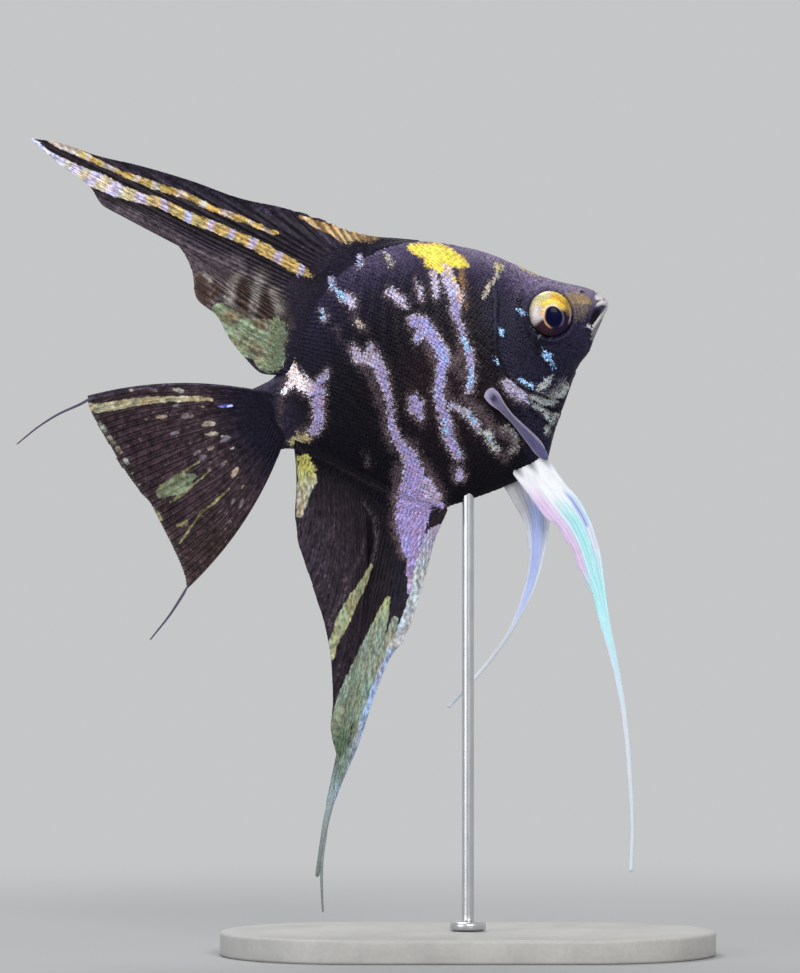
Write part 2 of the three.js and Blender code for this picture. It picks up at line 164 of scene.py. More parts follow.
def line_gap(x, z, line):
    """Distance to an open line, and the signed distance: positive on the left seen along it."""
    best, signed = np.full(np.shape(x), FAR), np.zeros(np.shape(x))
    for start, end in zip(line, line[1:]):
        _, gx, gz = from_leg(x, z, start, end)
        gap = np.hypot(gx, gz)
        side = np.sign((end[0] - start[0]) * gz - (end[1] - start[1]) * gx)
        signed = np.where(gap < best, gap * side, signed)
        best = np.minimum(best, gap)
    return best, signed


def ripple(x, z, seed, size):
    """Smooth noise from -1 to 1, the same each run, with bumps about `size` mm across."""
    waves, full = 7, 3.2  # how many waves are added up, and the sum that counts as 1
    total = 0
    for way, phase, stretch in np.random.default_rng(seed).uniform(0, 1, (waves, 3)):
        a = way * 2 * math.pi
        k = 2 * math.pi / (size * (1.2 + stretch))
        total = total + np.sin((x * math.cos(a) + z * math.sin(a)) * k + phase * 40)
    return np.clip(total / full, -1, 1)


# ---------------------------------------------------------------- the body's form

TAIL_END, LENGTH = -1.5, 91.0
back = smooth_through([
    (TAIL_END, 6.9), (4, 7.6), (10, 10.4), (16, 18.2), (24, 25.4), (32, 29.5), (41, 30.4), (50, 29),
    (58, 25.7), (66, 20.9), (72, 15.7), (78, 10.4), (83, 7.1), (87, 4.6), (89.8, 2.1), (LENGTH, 0.4)])
belly = smooth_through([
    (TAIL_END, -9.4), (3, -10), (8, -12.8), (20, -24.8), (30, -33.8), (36, -36.6), (46, -36.6),
    (58, -35.9), (62.5, -34.8), (68.5, -26.9), (74.8, -18.8), (79.4, -13.3), (82.4, -11.3),
    (83.9, -9.5), (86, -7.1), (88, -5), (89.5, -3), (LENGTH, -1.1)])
half_width = smooth_through([
    (TAIL_END, 1.5), (4, 2.2), (12, 3.1), (24, 4.9), (38, 6.9), (52, 7.8), (62, 7.7), (70, 7),
    (76, 6.2), (82, 4.9), (87, 3.3), (LENGTH, 1.5)])

GAPE = [(91.2, -1.1), (89.2, -1.75), (88.0, -2.8), (86.6, -3.9), (85.2, -4.9)]
MOUTH_WEB = [(88.8, -1.5, 0.2), (87.4, -2.2, 0.75), (86.4, -3.2, 0.7), (85.5, -4.3, 0.3)]
LOWER_LIP = [(90.6, -1.9), (89.2, -2.9), (87.9, -3.8), (86.4, -4.9), (85.2, -5.8), (84.8, -7)]
UPPER_LIP = [(90.6, -0.8), (89.6, -0.4), (88.6, -0.45), (87.4, -0.7)]
LIP_FOLD = [(89.3, 2.9), (88.0, 1.9), (87.0, 0.5), (86.0, -1.5), (84.8, -3.4), (84.2, -5.0)]
JAW_FOLD = [(84.2, -5.2), (83.5, -7.6), (82.8, -10.2)]
PREOPERCLE = [(71.4, 8.5), (70.2, 4), (69.9, -2), (70.7, -7), (73.0, -11.6), (76.8, -14.6), (79.6, -15.2)]
CHEEK_LINE = [(70.0, 0.4), (72.4, -5.4), (76.4, -8.4), (81, -8.6)]
GILL_EDGE = [
    (66.2, 13), (65.1, 8), (62.9, 2), (60.8, -4.4), (61.1, -9.8), (64.2, -14.6), (69, -18.5),
    (74.5, -21.4), (79.5, -22.5)]
THROAT_LINES = [[(64.5, -18), (69, -22), (72.5, -23.5)], [(63.5, -20.5), (67.5, -25.5), (69.5, -27)]]
LATERAL = [(60.5, 6.2), (54, 10.6), (47, 13.4), (38, 14), (28, 11.2), (18, 4.6), (9, 0.3), (0, -0.6)]
NOSTRIL = (85.6, 3.75)
PECTORAL_ROOT = (56.0, -13.2)


# lines in the skin: how far each stands out, and its half width
LINES = [
    (LOWER_LIP, 0.38, 0.48), (UPPER_LIP, 0.36, 0.6), (GAPE, -0.6, 0.26), (LIP_FOLD, -0.34, 0.32),
    (JAW_FOLD, -0.2, 0.32), (CHEEK_LINE, -0.1, 0.5), (LATERAL, -0.07, 0.35),
    *((line, -0.14, 0.3) for line in THROAT_LINES)]
# swells and dips beside a line: how far to its left, how far out, and their half width
BESIDE = [
    (LIP_FOLD, 0.7, 0.12, 0.45), (JAW_FOLD, 0.7, 0.12, 0.45), (PREOPERCLE, -0.5, 0.16, 0.7),
    (PREOPERCLE, 0.35, -0.16, 0.4)]
# swells and dips round a middle: its stretch along x and z, the ring's radius, how far out, its half width
ROUND = [
    (EYE, 1, 1 / EYE_TALL, 6.35, 0.34, 0.75), (EYE, 1, 1 / EYE_TALL, 7.6, -0.12, 0.7),
    (NOSTRIL, 1, 1.2, 0.68, 0.13, 0.26), (NOSTRIL, 1, 1.2, 0, -0.5, 0.34), ((89.3, 1.0), 1, 1, 0, 0.3, 0.9),
    (PECTORAL_ROOT, 1.1, 1, 0, 0.5, 1.6), (PECTORAL_ROOT, 1.1, 1, 2.8, -0.14, 0.7)]
SOCKET = 5.95  # the radius of the eye's opening
MUSCLE_PITCH = 3.6  # from one muscle fold of the flank to the next


def relief(x, z):
    """How far the skin stands out from the body's plain form, along its normal."""
    out = 0.05 * ripple(x, z, 3, 7)
    for (mx, mz), across, up, radius, height, width in ROUND:
        out += height * hump(np.hypot((x - mx) * across, (z - mz) * up) - radius, width)
    for line, height, width in LINES:
        out += height * hump(line_gap(x, z, line)[0], width)
    for line, aside, height, width in BESIDE:
        out += height * hump(line_gap(x, z, line)[1] - aside, width)
    out -= 3.4 * ease(SOCKET - np.hypot(x - EYE[0], (z - EYE[1]) / EYE_TALL), 0, 1.6)
    out -= 0.5 * ease(depth_in(x, z, MOUTH_WEB), -0.3, 0.4)
    gap, side = line_gap(x, z, GILL_EDGE)
    ahead = ease(side, -0.12, 0.12)
    keel = ease(z - belly(x), 0.5, 5)
    out += keel * (ahead * 0.42 * np.exp(-gap / 3) - (1 - ahead) * 0.38 * np.exp(-gap / 1.2))
    flank = ease(x, 8, 20) * (1 - ease(x, 54, 62))
    chevron = x - 0.32 * np.abs(z - 1) + 2 * np.sin(z / 7)
    return out + flank * 0.045 * np.sin(chevron * 2 * math.pi / MUSCLE_PITCH)


def ring_grid(x, turn):
    """The body's plain surface at stations x and turns round the section, from the belly's keel."""
    top, bottom = back(x), belly(x)
    wide = half_width(x) * mix(0.3, 1, ease(x, TAIL_END - 2.5, 9))
    y = np.sign(np.sin(turn)) * wide * np.abs(np.sin(turn)) ** 1.3
    return joined(x, y, (top + bottom) / 2 - (top - bottom) / 2 * np.cos(turn))


def grid_faces(rows, columns, wrap=False):
    """Quads over a grid of rows by columns, numbered row by row."""
    ids = np.arange(rows * columns).reshape(rows, columns)
    if wrap:
        ids = np.concatenate([ids, ids[:, :1]], 1)
    a, b, c, d = ids[:-1, :-1], ids[1:, :-1], ids[1:, 1:], ids[:-1, 1:]
    return np.stack([a, b, c, d], -1).reshape(-1, 4)


def grid_normals(points, wrap=False):
    along = np.gradient(points, axis=0)
    across = np.roll(points, -1, 1) - np.roll(points, 1, 1) if wrap else np.gradient(points, axis=1)
    n = np.cross(along, across)
    return n / np.maximum(np.linalg.norm(n, axis=-1, keepdims=True), 1e-12)


class Piece:
    """Points, faces and attributes gathered from several shapes into one mesh."""

    def __init__(self):
        self.points, self.faces, self.values, self.maps = [], [], [], []
        self.count = 0

    def add(self, points, faces, values, uv=None):
        points = points.reshape(-1, 3)
        self.points.append(points)
        self.faces.append(np.asarray(faces) + self.count)
        self.values.append({key: np.broadcast_to(value, (len(points), *np.shape(value)[1:]))
                            for key, value in values.items()})
        if uv is not None:
            self.maps.append(uv.reshape(-1, 2))
        self.count += len(points)

    def build(self, name, material, slot):
        points, quads = np.concatenate(self.points), np.concatenate(self.faces)
        mesh = bpy.data.meshes.new(name)
        mesh.vertices.add(len(points))
        mesh.vertices.foreach_set("co", world(points).astype(np.float32).ravel())
        mesh.loops.add(quads.size)
        mesh.loops.foreach_set("vertex_index", quads.astype(np.int32).ravel())
        mesh.polygons.add(len(quads))
        mesh.polygons.foreach_set("loop_start", np.arange(0, quads.size, quads.shape[1], dtype=np.int32))
        mesh.update(calc_edges=True)
        mesh.shade_smooth()
        for key in self.values[0]:
            value = np.concatenate([v[key] for v in self.values]).astype(np.float32)
            kind = {1: "FLOAT", 2: "FLOAT_VECTOR"}[value.ndim]
            attribute = mesh.attributes.new(key, kind, "POINT")
            attribute.data.foreach_set("value" if kind == "FLOAT" else "vector", value.ravel())
        if self.maps:
            uv = np.concatenate(self.maps)[quads.ravel()].astype(np.float32)
            mesh.uv_layers.new(name="OFBake").uv.foreach_set("vector", uv.ravel())
        mesh.materials.append(material)
        obj = bpy.data.objects.new(name, mesh)
        bpy.context.scene.collection.objects.link(obj)
        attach(obj, "root")
        return obj


# ---------------------------------------------------------------- the fins' form

ROOT_DEPTH = 3.0  # how deep the median fins are rooted in the body
WEB = 0.085  # half the thickness of the skin between their rays


def fan(u, v, root, edge, bow, sway):
    """A median fin's middle surface. A ray at share u runs from its root to its edge as v goes 0 to 1."""
    start, end = root(u), edge(u)
    dx, dz = end[..., 0] - start[..., 0], end[..., 1] - start[..., 1]
    push = 4 * v * (1 - v) * bow(u) / np.maximum(np.hypot(dx, dz), 1)
    return joined(start[..., 0] + dx * v - dz * push, sway(u, v), start[..., 1] + dz * v + dx * push)


def dorsal_root(u):
    x = mix(50, 9, u ** 0.8)
    return joined(x, back(x) - ROOT_DEPTH)


def anal_root(u):
    x = mix(36.5, 5.5, u)
    return joined(x, belly(x) + ROOT_DEPTH)


DORSAL_EDGE = path_through([
    (0, 51, 29), (0.08, 45.5, 31.4), (0.15, 41, 33.3), (0.22, 34.6, 37.4), (0.27, 29.2, 42.1),
    (0.31, 21, 47.9), (0.34, 12.2, 53.1), (0.37, 1.6, 61.4), (0.4, -9.2, 68.9), (0.43, -19, 75),
    (0.46, -26.3, 80.5), (0.5, -33.1, 84.1), (0.55, -28.2, 75.6), (0.6, -22.8, 67.7), (0.63, -21.4, 62.6),
    (0.68, -16.5, 58.2), (0.73, -11.5, 53.8), (0.78, -7.2, 48.4), (0.82, -5.2, 41.2), (0.86, -6.3, 33.4),
    (0.9, -2.9, 26.8), (0.93, -1.7, 20.4), (0.96, 0.9, 13.6), (0.98, 3.4, 9.7), (1, 8, 8.4)])
ANAL_EDGE = path_through([
    (0, 36.4, -37.2), (0.05, 31, -43.4), (0.09, 27.6, -48.6), (0.13, 23.4, -55), (0.17, 14.8, -65.5),
    (0.18, 12.2, -67), (0.21, 4.7, -75.2), (0.25, -3.4, -86), (0.29, -9.4, -92.7), (0.33, -13.4, -97.5),
    (0.38, -17, -102), (0.43, -15.8, -97.6), (0.48, -13.6, -93.9), (0.52, -11.6, -91),
    (0.56, -9.5, -88), (0.6, -8.9, -81), (0.65, -6.2, -74), (0.7, -2.6, -60.5), (0.76, -1.7, -51),
    (0.82, -1.7, -43), (0.88, -1.7, -35), (0.93, -0.5, -27.5), (0.97, 2.3, -20), (1, 4.4, -13.4)])
CAUDAL_EDGE = path_through([
    (0, -40.2, 18.5), (0.08, -40.8, 15.6), (0.24, -39.4, 7.9), (0.4, -37.6, -1.1), (0.54, -35.2, -8.8),
    (0.6, -33.6, -12.2), (0.64, -33.2, -14.6), (0.8, -31.8, -24.2), (0.92, -31.2, -31), (1, -31.9, -35.5)])
# Each median fin's root and outer edge, how its rays bend and sway, their number and the share of them
# that are spines, its half thickness at the root and how far that reaches out, the notch behind each
# spine, and how many columns each ray and how many rows the fin is drawn with.
FINS = {
    "dorsal": dict(
        root=dorsal_root, edge=DORSAL_EDGE, bow=lambda u: 0.6 * np.sin(np.pi * u),
        sway=lambda u, v: 2.2 * v * v * np.sin(np.pi * (u + 0.6 * v)),
        rays=46, spines=0.3, root_half=1.15, sheath=2.6, step=0.9, columns=9, rows=110),
    "anal": dict(
        root=anal_root, edge=ANAL_EDGE, bow=lambda u: 4.6 * np.sin(np.pi * u) * ease(u, 0.36, 0.62),
        sway=lambda u, v: -2 * v * v * np.sin(np.pi * (u + 0.4 * v)),
        rays=42, spines=0.17, root_half=1.25, sheath=2.8, step=1.3, columns=9, rows=120),
    "caudal": dict(
        root=lambda u: joined(4.0, mix(4.4, -6.8, u)), edge=CAUDAL_EDGE,
        bow=lambda u: -2.9 * np.cos(np.pi * u), sway=lambda u, v: 3 * v * v * np.cos(2.6 * u - 0.4),
        rays=17, spines=0.0, root_half=1.25, sheath=4.5, step=0.3, columns=16, rows=100),
}
# the threads a fin draws out into: its name, the share along it, the first and last radius, and the route
THREADS = [
    ("caudal", 0, 0.42, 0.17, [
        (-33, 17.4), (-38, 17.7), (-42.6, 17), (-47.7, 16.5), (-53.4, 15.2), (-60.8, 12.5)]),
    ("caudal", 1, 0.42, 0.17, [
        (-30.4, -33.9), (-31.9, -35.4), (-34.6, -37.7), (-37.8, -40.2), (-44.4, -44.5)]),
    ("anal", 0.38, 0.95, 0.5, [
        (-12.6, -94.6), (-16.9, -101.2), (-19.5, -106), (-21.7, -110.2), (-23.6, -113.9)]),
    ("anal", 0.38, 0.6, 0.22, [
        (-16.4, -101), (-19, -105.8), (-20.9, -109.8), (-22.3, -113.6), (-23.7, -118.1), (-25, -122.8)])]


def ray_ridge(phase, v, spiny):
    """How far a place stands up on its ray, 0 to 1: one ray, forked once and then again on the way out."""
    first = 0.25 * ease(v, 0.42, 0.78)
    second = 0.125 * ease(v, 0.72, 0.97)
    wide = mix(0.2, 0.085, ease(v, 0.3, 1))
    tips = [0.5 + a * first + b * second for a in (-1, 1) for b in (-1, 1)]
    soft = np.max([hump(phase - tip, wide) for tip in tips], axis=0)
    return np.where(spiny, hump(phase - 0.35, 0.26), soft)


def both_faces(middle, way, thick):
    """A sheet's left and right faces, out from its middle surface."""
    step = np.asarray(way) * thick[..., None]
    return middle + step, middle - step


def rounded(distance, reach):
    """A sheet's thickness near its edge, as a share: round over the reach, and nothing at the edge."""
    return np.sqrt(np.clip(distance / reach, 0, 1))


SIDEWAYS = (0.0, 1.0, 0.0)


def fan_sheet(spec):
    """Both faces of a median fin as grids of points, with what the paint needs to know of each place."""
    rays = spec["rays"]
    u = np.linspace(0, 1, rays * spec["columns"] + 1)[:, None]
    share = np.linspace(0, 1, spec["rows"])[None, :]
    share = mix(share, share**0.8, 0.5)
    length = np.maximum(np.linalg.norm(spec["edge"](u) - spec["root"](u), axis=-1), 1)
    at_ray = u * rays
    phase = np.clip(at_ray, 0, rays - 1e-6) % 1
    spiny = u < spec["spines"]
    worn = np.random.default_rng(SEED).uniform(0, 1, rays + 1)[np.minimum(at_ray.astype(int), rays)]
    fork = np.abs(((phase * 4) % 1) - 0.5)
    short = np.where(spiny, spec["step"] * np.clip(phase - 0.45, 0, 1) * 1.6, 0.35 * worn + 0.5 * fork * fork)
    end_v = 1 - np.clip(short / length, 0, 0.25) * ease(length, 4, 14) * ease(1 - u, 0, 0.01)
    v = share * end_v
    out = length * v - ROOT_DEPTH
    to_edge = length * (end_v - v)
    ridge = ray_ridge(phase, v, spiny) * ease(out, 0.5, 7)
    thick = WEB + mix(0.17, 0.06, v) * ridge * ease(length, 3, 12)
    thick = thick + spec["root_half"] * np.exp(-np.maximum(out, 0) / spec["sheath"]) + 0.1 * hump(at_ray, 1.2)
    thick = thick * rounded(to_edge, 0.3) * rounded(np.minimum(u, 1 - u) * rays, 0.5)
    from_ends = ease(at_ray, 0.5, 2) * ease((1 - u) * rays, 0.5, 2)
    pleat = 0.09 * np.sin(2 * np.pi * phase) * ease(out, 3, 12) * from_ends * (1 - spiny)
    middle = fan(u, v, spec["root"], spec["edge"], spec["bow"], spec["sway"])
    middle[..., 1] += pleat
    facts = dict(u=u, v=v, ridge=ridge, phase=phase, out=out, ray=at_ray, run=length * v, to_edge=to_edge)
    return *both_faces(middle, SIDEWAYS, thick), spread_out(facts)


def spread_out(facts):
    """The facts of a sheet's places, each as a whole grid."""
    return dict(zip(facts, np.broadcast_arrays(*facts.values())))


def two_faced(left, right):
    """One closed grid from a sheet's two faces: out along one and back along the other."""
    points = np.concatenate([left, right[:, ::-1]], 1)
    return points, grid_faces(points.shape[0], points.shape[1], wrap=True)


def doubled(value):
    return np.concatenate([value, value[:, ::-1]], 1)


def tube(centres, radii, sides=10):
    """A round thread along points, as a grid of rings."""
    centres = np.array(centres, float)
    along = np.gradient(centres, axis=0)
    along /= np.linalg.norm(along, axis=1, keepdims=True)
    side = np.cross(along, SIDEWAYS)
    side /= np.linalg.norm(side, axis=1, keepdims=True)
    other = np.cross(along, side)
    turn = np.linspace(0, 2 * np.pi, sides, endpoint=False)
    ring = side[:, None] * np.cos(turn)[None, :, None] + other[:, None] * np.sin(turn)[None, :, None]
    return centres[:, None] + ring * np.asarray(radii)[:, None, None]


def resample(points, count):
    """The points of a line again, evenly spaced and smooth."""
    points = np.array(points, float)
    run = np.r_[0, np.cumsum(np.linalg.norm(np.diff(points, axis=0), axis=1))]
    t = np.linspace(0, run[-1], count)
    return np.stack([smooth_through(list(zip(run, points[:, k])))(t) for k in range(points.shape[1])], -1)


PELVIC = {
    "left": dict(
        lead=path_through([
            (0, 63, -30), (0.1, 62, -41), (0.2, 59.6, -48.6), (0.3, 56.6, -54.5), (0.4, 53.2, -60),
            (0.5, 49.1, -65.2), (0.6, 44.7, -69.5), (0.7, 39.4, -73.8), (0.8, 34.2, -77.4),
            (0.9, 27.7, -81.2), (1, 21.2, -84.8)]),
        trail=path_through([
            (0, 50.4, -31), (0.1, 52.6, -40.5), (0.2, 53.6, -46.5), (0.28, 53, -51), (0.36, 51.4, -56.2),
            (0.44, 49, -60.8), (0.52, 45.4, -65.8), (0.6, 41.4, -70.6), (0.7, 36.4, -74.6),
            (0.8, 30.8, -78.3), (0.9, 25.7, -81.3), (1, 20.6, -84.2)]),
        side=1, spread=8, blade=0.55, teeth=(0.2, 0.31, 0.42, 0.5)),
    "right": dict(
        lead=path_through([
            (0, 63.6, -30), (0.06, 66.4, -40.2), (0.11, 68.6, -45.5), (0.17, 69.5, -52.3),
            (0.23, 69.2, -58.7), (0.31, 67.8, -66.5), (0.4, 66.2, -75), (0.5, 64.9, -85), (0.6, 63.4, -95),
            (0.7, 61.4, -105), (0.8, 58.8, -115), (0.9, 55.6, -126), (1, 51.6, -137)]),
        trail=path_through([
            (0, 53.6, -30.6), (0.06, 56.8, -40), (0.11, 58.8, -46.4), (0.16, 61, -51), (0.22, 62.4, -57),
            (0.28, 62.7, -63), (0.32, 63.7, -67), (0.4, 63.3, -75.6), (0.5, 62.9, -85.4),
            (0.6, 61.8, -95.4), (0.7, 59.9, -105.4), (0.8, 57.4, -115.4), (0.9, 54.4, -126.4),
            (1, 50.5, -136.8)]),
        side=-1, spread=9, blade=0.45, teeth=(0.13, 0.2, 0.27, 0.33)),
}


def pelvic_sheet(spec):
    """A pelvic fin's two faces: a stiff spine in front, soft rays behind it and the long feeler."""
    across, down, rays = 73, 260, 9
    u = np.linspace(0, 1, across)[:, None]
    v = np.linspace(0, 1, down)[None, :] ** 1.15
    blade = 1 - ease(v, 0.6 * spec["blade"], spec["blade"])
    teeth = [np.clip(1 - (v - at) / 0.06, 0, 1) * (v > at) for at in spec["teeth"]]
    inner = u * (1 - 0.09 * np.max(teeth, axis=0) * ease(u, 0.3, 1))
    lead, trail = spec["lead"](v), spec["trail"](v)
    flat_x, flat_z = np.moveaxis(lead + (trail - lead) * inner[..., None], -1, 0)
    ridge = hump((inner * rays) % 1 - 0.5, 0.24) * blade * ease(v, 0.03, 0.12)
    pleat = 0.3 * np.sin(4.2 * np.pi * inner) * blade * ease(v, 0.03, 0.16)
    y = spec["side"] * (1.5 + spec["spread"] * np.sin(v * np.pi / 2)) + pleat
    oval = np.sqrt(np.clip(1 - (2 * u - 1) ** 2, 0, 1))
    feeler = np.clip(np.linalg.norm(trail - lead, axis=-1) * 0.42, 0.16, 0.42) * oval
    spine = 0.3 * hump(inner - 0.04, 0.09) * ease(0.2 - v, 0, 0.03)
    flap = (0.13 + 0.055 * ridge + spine + 0.9 * np.exp(-v * 26)) * rounded(np.minimum(u, 1 - u), 1 / 14)
    thick = mix(feeler, flap, blade) * rounded(1 - v, 0.006)
    facts = dict(u=inner, v=v, ridge=ridge, ray=inner * rays, run=110 * v)
    return *both_faces(joined(flat_x, y, flat_z), SIDEWAYS, thick), spread_out(facts)


PECTORAL = dict(x=55.3, z=-12.4, forward=8.6, down=20.6, out=13)  # its root, and the way to its tip
# the blade's breadth seen from the side, and its breadth outwards from the flank, from root to tip
PECTORAL_SIDE = smooth_through([
    (0, 3.2), (0.1, 3.5), (0.25, 2.1), (0.42, 1.5), (0.72, 2.3), (0.92, 2.9), (1, 2.6)])
PECTORAL_FAN = smooth_through([(0, 1.2), (0.15, 1.4), (0.4, 3), (0.8, 5.2), (1, 4.2)])


def side_at(x, z):
    """How far out the body's plain side lies."""
    middle, half = (back(x) + belly(x)) / 2, (back(x) - belly(x)) / 2
    share = np.clip((z - middle) / half, -1, 1)
    return half_width(x) * (1 - share * share) ** 0.65


def pectoral_sheet(side):
    """A pectoral fin's two faces, standing out from the flank and swept down and forward."""
    p = PECTORAL
    rays, columns, rows = 12, 9, 80
    root = np.array([p["x"], side * (side_at(p["x"], p["z"]) - 0.1), p["z"]])
    along = np.array([p["forward"], side * p["out"], -p["down"]])
    length = np.linalg.norm(along)
    axis = along / length
    aside = np.cross(SIDEWAYS, axis)
    aside /= np.linalg.norm(aside)
    outward = np.cross(axis, aside)
    u = np.linspace(0, 1, rays * columns + 1)[:, None]
    phase = (u * rays) % 1
    notch = 0.02 * (1 - hump(phase - 0.5, 0.3)) * ease(u, 0, 0.04) * ease(1 - u, 0, 0.04)
    v = np.linspace(0, 1, rows)[None, :] * (1 - notch)
    off_middle = (2 * u - 1) ** 2
    reach = length * v * (1 - 0.12 * off_middle * v) + 0.75 * off_middle * (1 - ease(v, 0, 0.1))
    ridge = ray_ridge(phase, v, False)
    bend = 0.1 * np.sin(2 * np.pi * phase) * ease(v, 0.2, 0.6)
    seen, deep = PECTORAL_SIDE(v)[..., None], PECTORAL_FAN(v)[..., None]
    way = (seen * outward - deep * aside) / np.hypot(seen, deep)
    breadth = (u[..., None] - 0.5) * (seen * aside + deep * outward)
    middle = root + reach[..., None] * axis + breadth + bend[..., None] * way
    cuff = np.maximum(hump(v - 0.05, 0.06) * off_middle, hump(v, 0.02))
    thick = 0.07 + mix(0.16, 0.06, v) * ridge + 0.3 * (1 - v) ** 6 + 0.3 * cuff
    thick = thick * rounded(np.minimum(u, 1 - u), 1 / 16) * rounded(1 - v, 1 / 30)
    facts = dict(u=u, v=v, ridge=ridge, ray=u * rays, run=length * v)
    return *both_faces(middle, way, thick), spread_out(facts)


# ---------------------------------------------------------------- the paint

# Marks are chains of circles (x, z, r) joined up.
# lilac bands and spots of the body
LILAC = [
    [(52.5, 20.7, 0.8), (51.8, 17.7, 0.8), (51.1, 14, 0.6)],
    [(55.3, 20.3, 1.5), (55.1, 16.6, 1.6), (55.8, 12.5, 1.7), (54.2, 9, 1.2), (54.1, 6.4, 0.7)],
    [(54.1, 6.4, 0.6), (54.1, 4, 0.7), (54.1, 0.9, 0.8), (54.2, -1.8, 1), (53.8, -4.8, 0.8),
     (52.9, -7.4, 0.8), (51.4, -10.3, 0.9)],
    [(43.9, 9.8, 1.6), (45.9, 8.1, 1.8), (46.6, 5.2, 1.5), (47.7, 1.4, 1.5), (47.7, -1.5, 1.6),
     (45.9, -4.6, 1.2), (44, -8.7, 1.1), (43.3, -11.6, 1.1), (43.4, -15.3, 1.2), (43.1, -18.4, 1.4),
     (42.7, -21.2, 1.1), (43.5, -23.8, 1), (43.5, -25.9, 0.8)],
    [(44.4, 7.5, 0.8), (42.9, 5.2, 0.6)], [(42.8, -28.8, 0.7), (42, -30.4, 0.8)],
    [(45.4, -12.3, 0.8), (47.4, -14.3, 0.7), (49.4, -16.3, 0.9), (50.5, -19.3, 0.9), (50.6, -21.4, 0.5)],
    [(52.3, -22.5, 0.9), (52.5, -24.4, 0.7), (52.8, -26.6, 0.7)],
    [(27.4, 8.7, 0.7), (27.6, 6.1, 1.2), (29, 4.8, 1.4), (31, 5.2, 1.4), (31.9, 2.3, 1.4),
     (31.9, -0.9, 1.3), (31.8, -3.6, 1), (31.6, -7.2, 0.7), (30.7, -10.5, 0.7), (30.1, -13.9, 1),
     (30.6, -17.5, 1.2), (31.4, -20.2, 1.4)],
    [(31.6, 7.6, 0.7), (31.2, 5.7, 0.8)],
    [(32.1, -20.7, 1.5), (32.1, -24.4, 2.1), (31.2, -28.2, 3.3), (29.6, -32, 4.2), (27.6, -35.6, 4.1),
     (26, -39.6, 3.2), (24.9, -42.9, 2.2), (24.5, -46.4, 1.5), (22.5, -49.4, 0.8)],
    [(32.4, -29.7, 3.1), (34.1, -33.2, 2.2), (35.4, -35.4, 1)],
    [(37.5, -8.3, 1.2), (37.5, -10.2, 1.9), (37.7, -12.6, 1)],
    [(26.9, 26.8, 0.6), (27.1, 25.2, 0.7), (28, 23.1, 0.3), (29.2, 21.1, 1), (30.5, 20.1, 1.1),
     (30.5, 18.8, 0.8)],
    [(22.7, 19.8, 0.5), (22.9, 18.2, 0.5)], [(35.7, 29.4, 0.7), (35.2, 28, 0.6)],
    [(40.3, 18.9, 0.8), (41.4, 17.5, 0.8), (42.5, 15.8, 0.9), (43, 14.3, 0.5)],
    [(47.5, 18.9, 0.2), (47.5, 16.5, 0.4), (47.3, 14.5, 0.3)],
    [(10.7, 10.3, 1.2), (11, 7.3, 1.5), (12, 4.6, 1.6), (13.9, 2.2, 1.8), (15.8, 2.4, 1.4), (18, 4, 0.7),
     (18.9, 5.3, 0.3)],
    [(10.2, 5.8, 0.9), (8.4, 4.4, 0.6), (6.9, 3.5, 0.2)],
    [(15.5, 1.4, 1.5), (14.5, -1.4, 1.4), (13.9, -4.1, 1.2), (12.8, -6.7, 1.1), (10.7, -8.1, 1)],
    [(60.6, -11.8, 1.1), (61.7, -14.1, 1.5), (63.1, -16.1, 1.2), (64.2, -17.8, 0.8)]]
# the dull rim of freckles round the lilac
FRINGE = [
    [(44, 6, 1), (46, -3.5, 1.6), (49, -3.2, 2), (51.8, -2.6, 2.2), (53.6, 0.4, 1.5)],
    [(45.5, -6, 1.4), (45.6, -11.1, 1.5), (46, -14, 0.8)], [(49.8, -4.4, 1.6), (51.2, -6.8, 1.5)],
    [(49.6, -12.5, 1.4), (52.2, -16.6, 1.6), (53.4, -21, 1.6), (55.4, -22.6, 1.6), (57.9, -27, 1.6),
     (54.4, -29.6, 1.2), (52.1, -25.6, 1.2)],
    [(26.4, 9.6, 1), (27.7, 3.9, 1.4), (29.8, 0.4, 1.6), (29, -3.7, 1.2), (29.2, -9.1, 1.2),
     (28.6, -14.6, 1.8), (30.4, -19.6, 1.8), (33.9, -18.8, 1.6)],
    [(28.9, -23.8, 2.4), (27.4, -29.4, 3.2), (24.1, -36.4, 2.8), (22.9, -44, 2)],
    [(34.3, -23.2, 1.4), (36.3, -28.7, 1.6), (37, -33.6, 1)],
    [(37.4, -6.8, 1.2), (37.7, -11.3, 2.2), (37.4, -14.9, 1.2)],
    [(30, 15.5, 1.5), (30.8, 13.2, 1.5), (31.9, 11.7, 1)], [(24.9, 14.6, 0.9), (24.6, 12.1, 0.6)],
    [(41.7, 28.5, 0.9), (42, 26.3, 0.8), (42.9, 24.9, 0.7)], [(38.8, 18.4, 1), (40.1, 17.4, 1.5)],
    [(7, 3.7, 1), (10.2, 8.4, 1.5), (11.2, 3.4, 2), (14.8, 0.1, 2.2), (12.6, -6.6, 2.2), (7.2, -8.5, 2)],
    [(62.4, 10, 0.5), (64.3, 12.5, 0.5), (66.7, 14.3, 0.5)], [(21.7, -17, 0.5), (21.7, -20.2, 0.6)],
    [(41.4, -28.3, 1.5), (42.7, -29.9, 1.5)], [(-0.1, 1.4, 0.3), (1.4, -2.2, 0.7), (3.3, -4.2, 0.9)],
    [(6.2, 2.4, 0.6), (5, -1, 0.7)], [(1, -7.7, 0.5), (5.6, -8.6, 0.9)]]
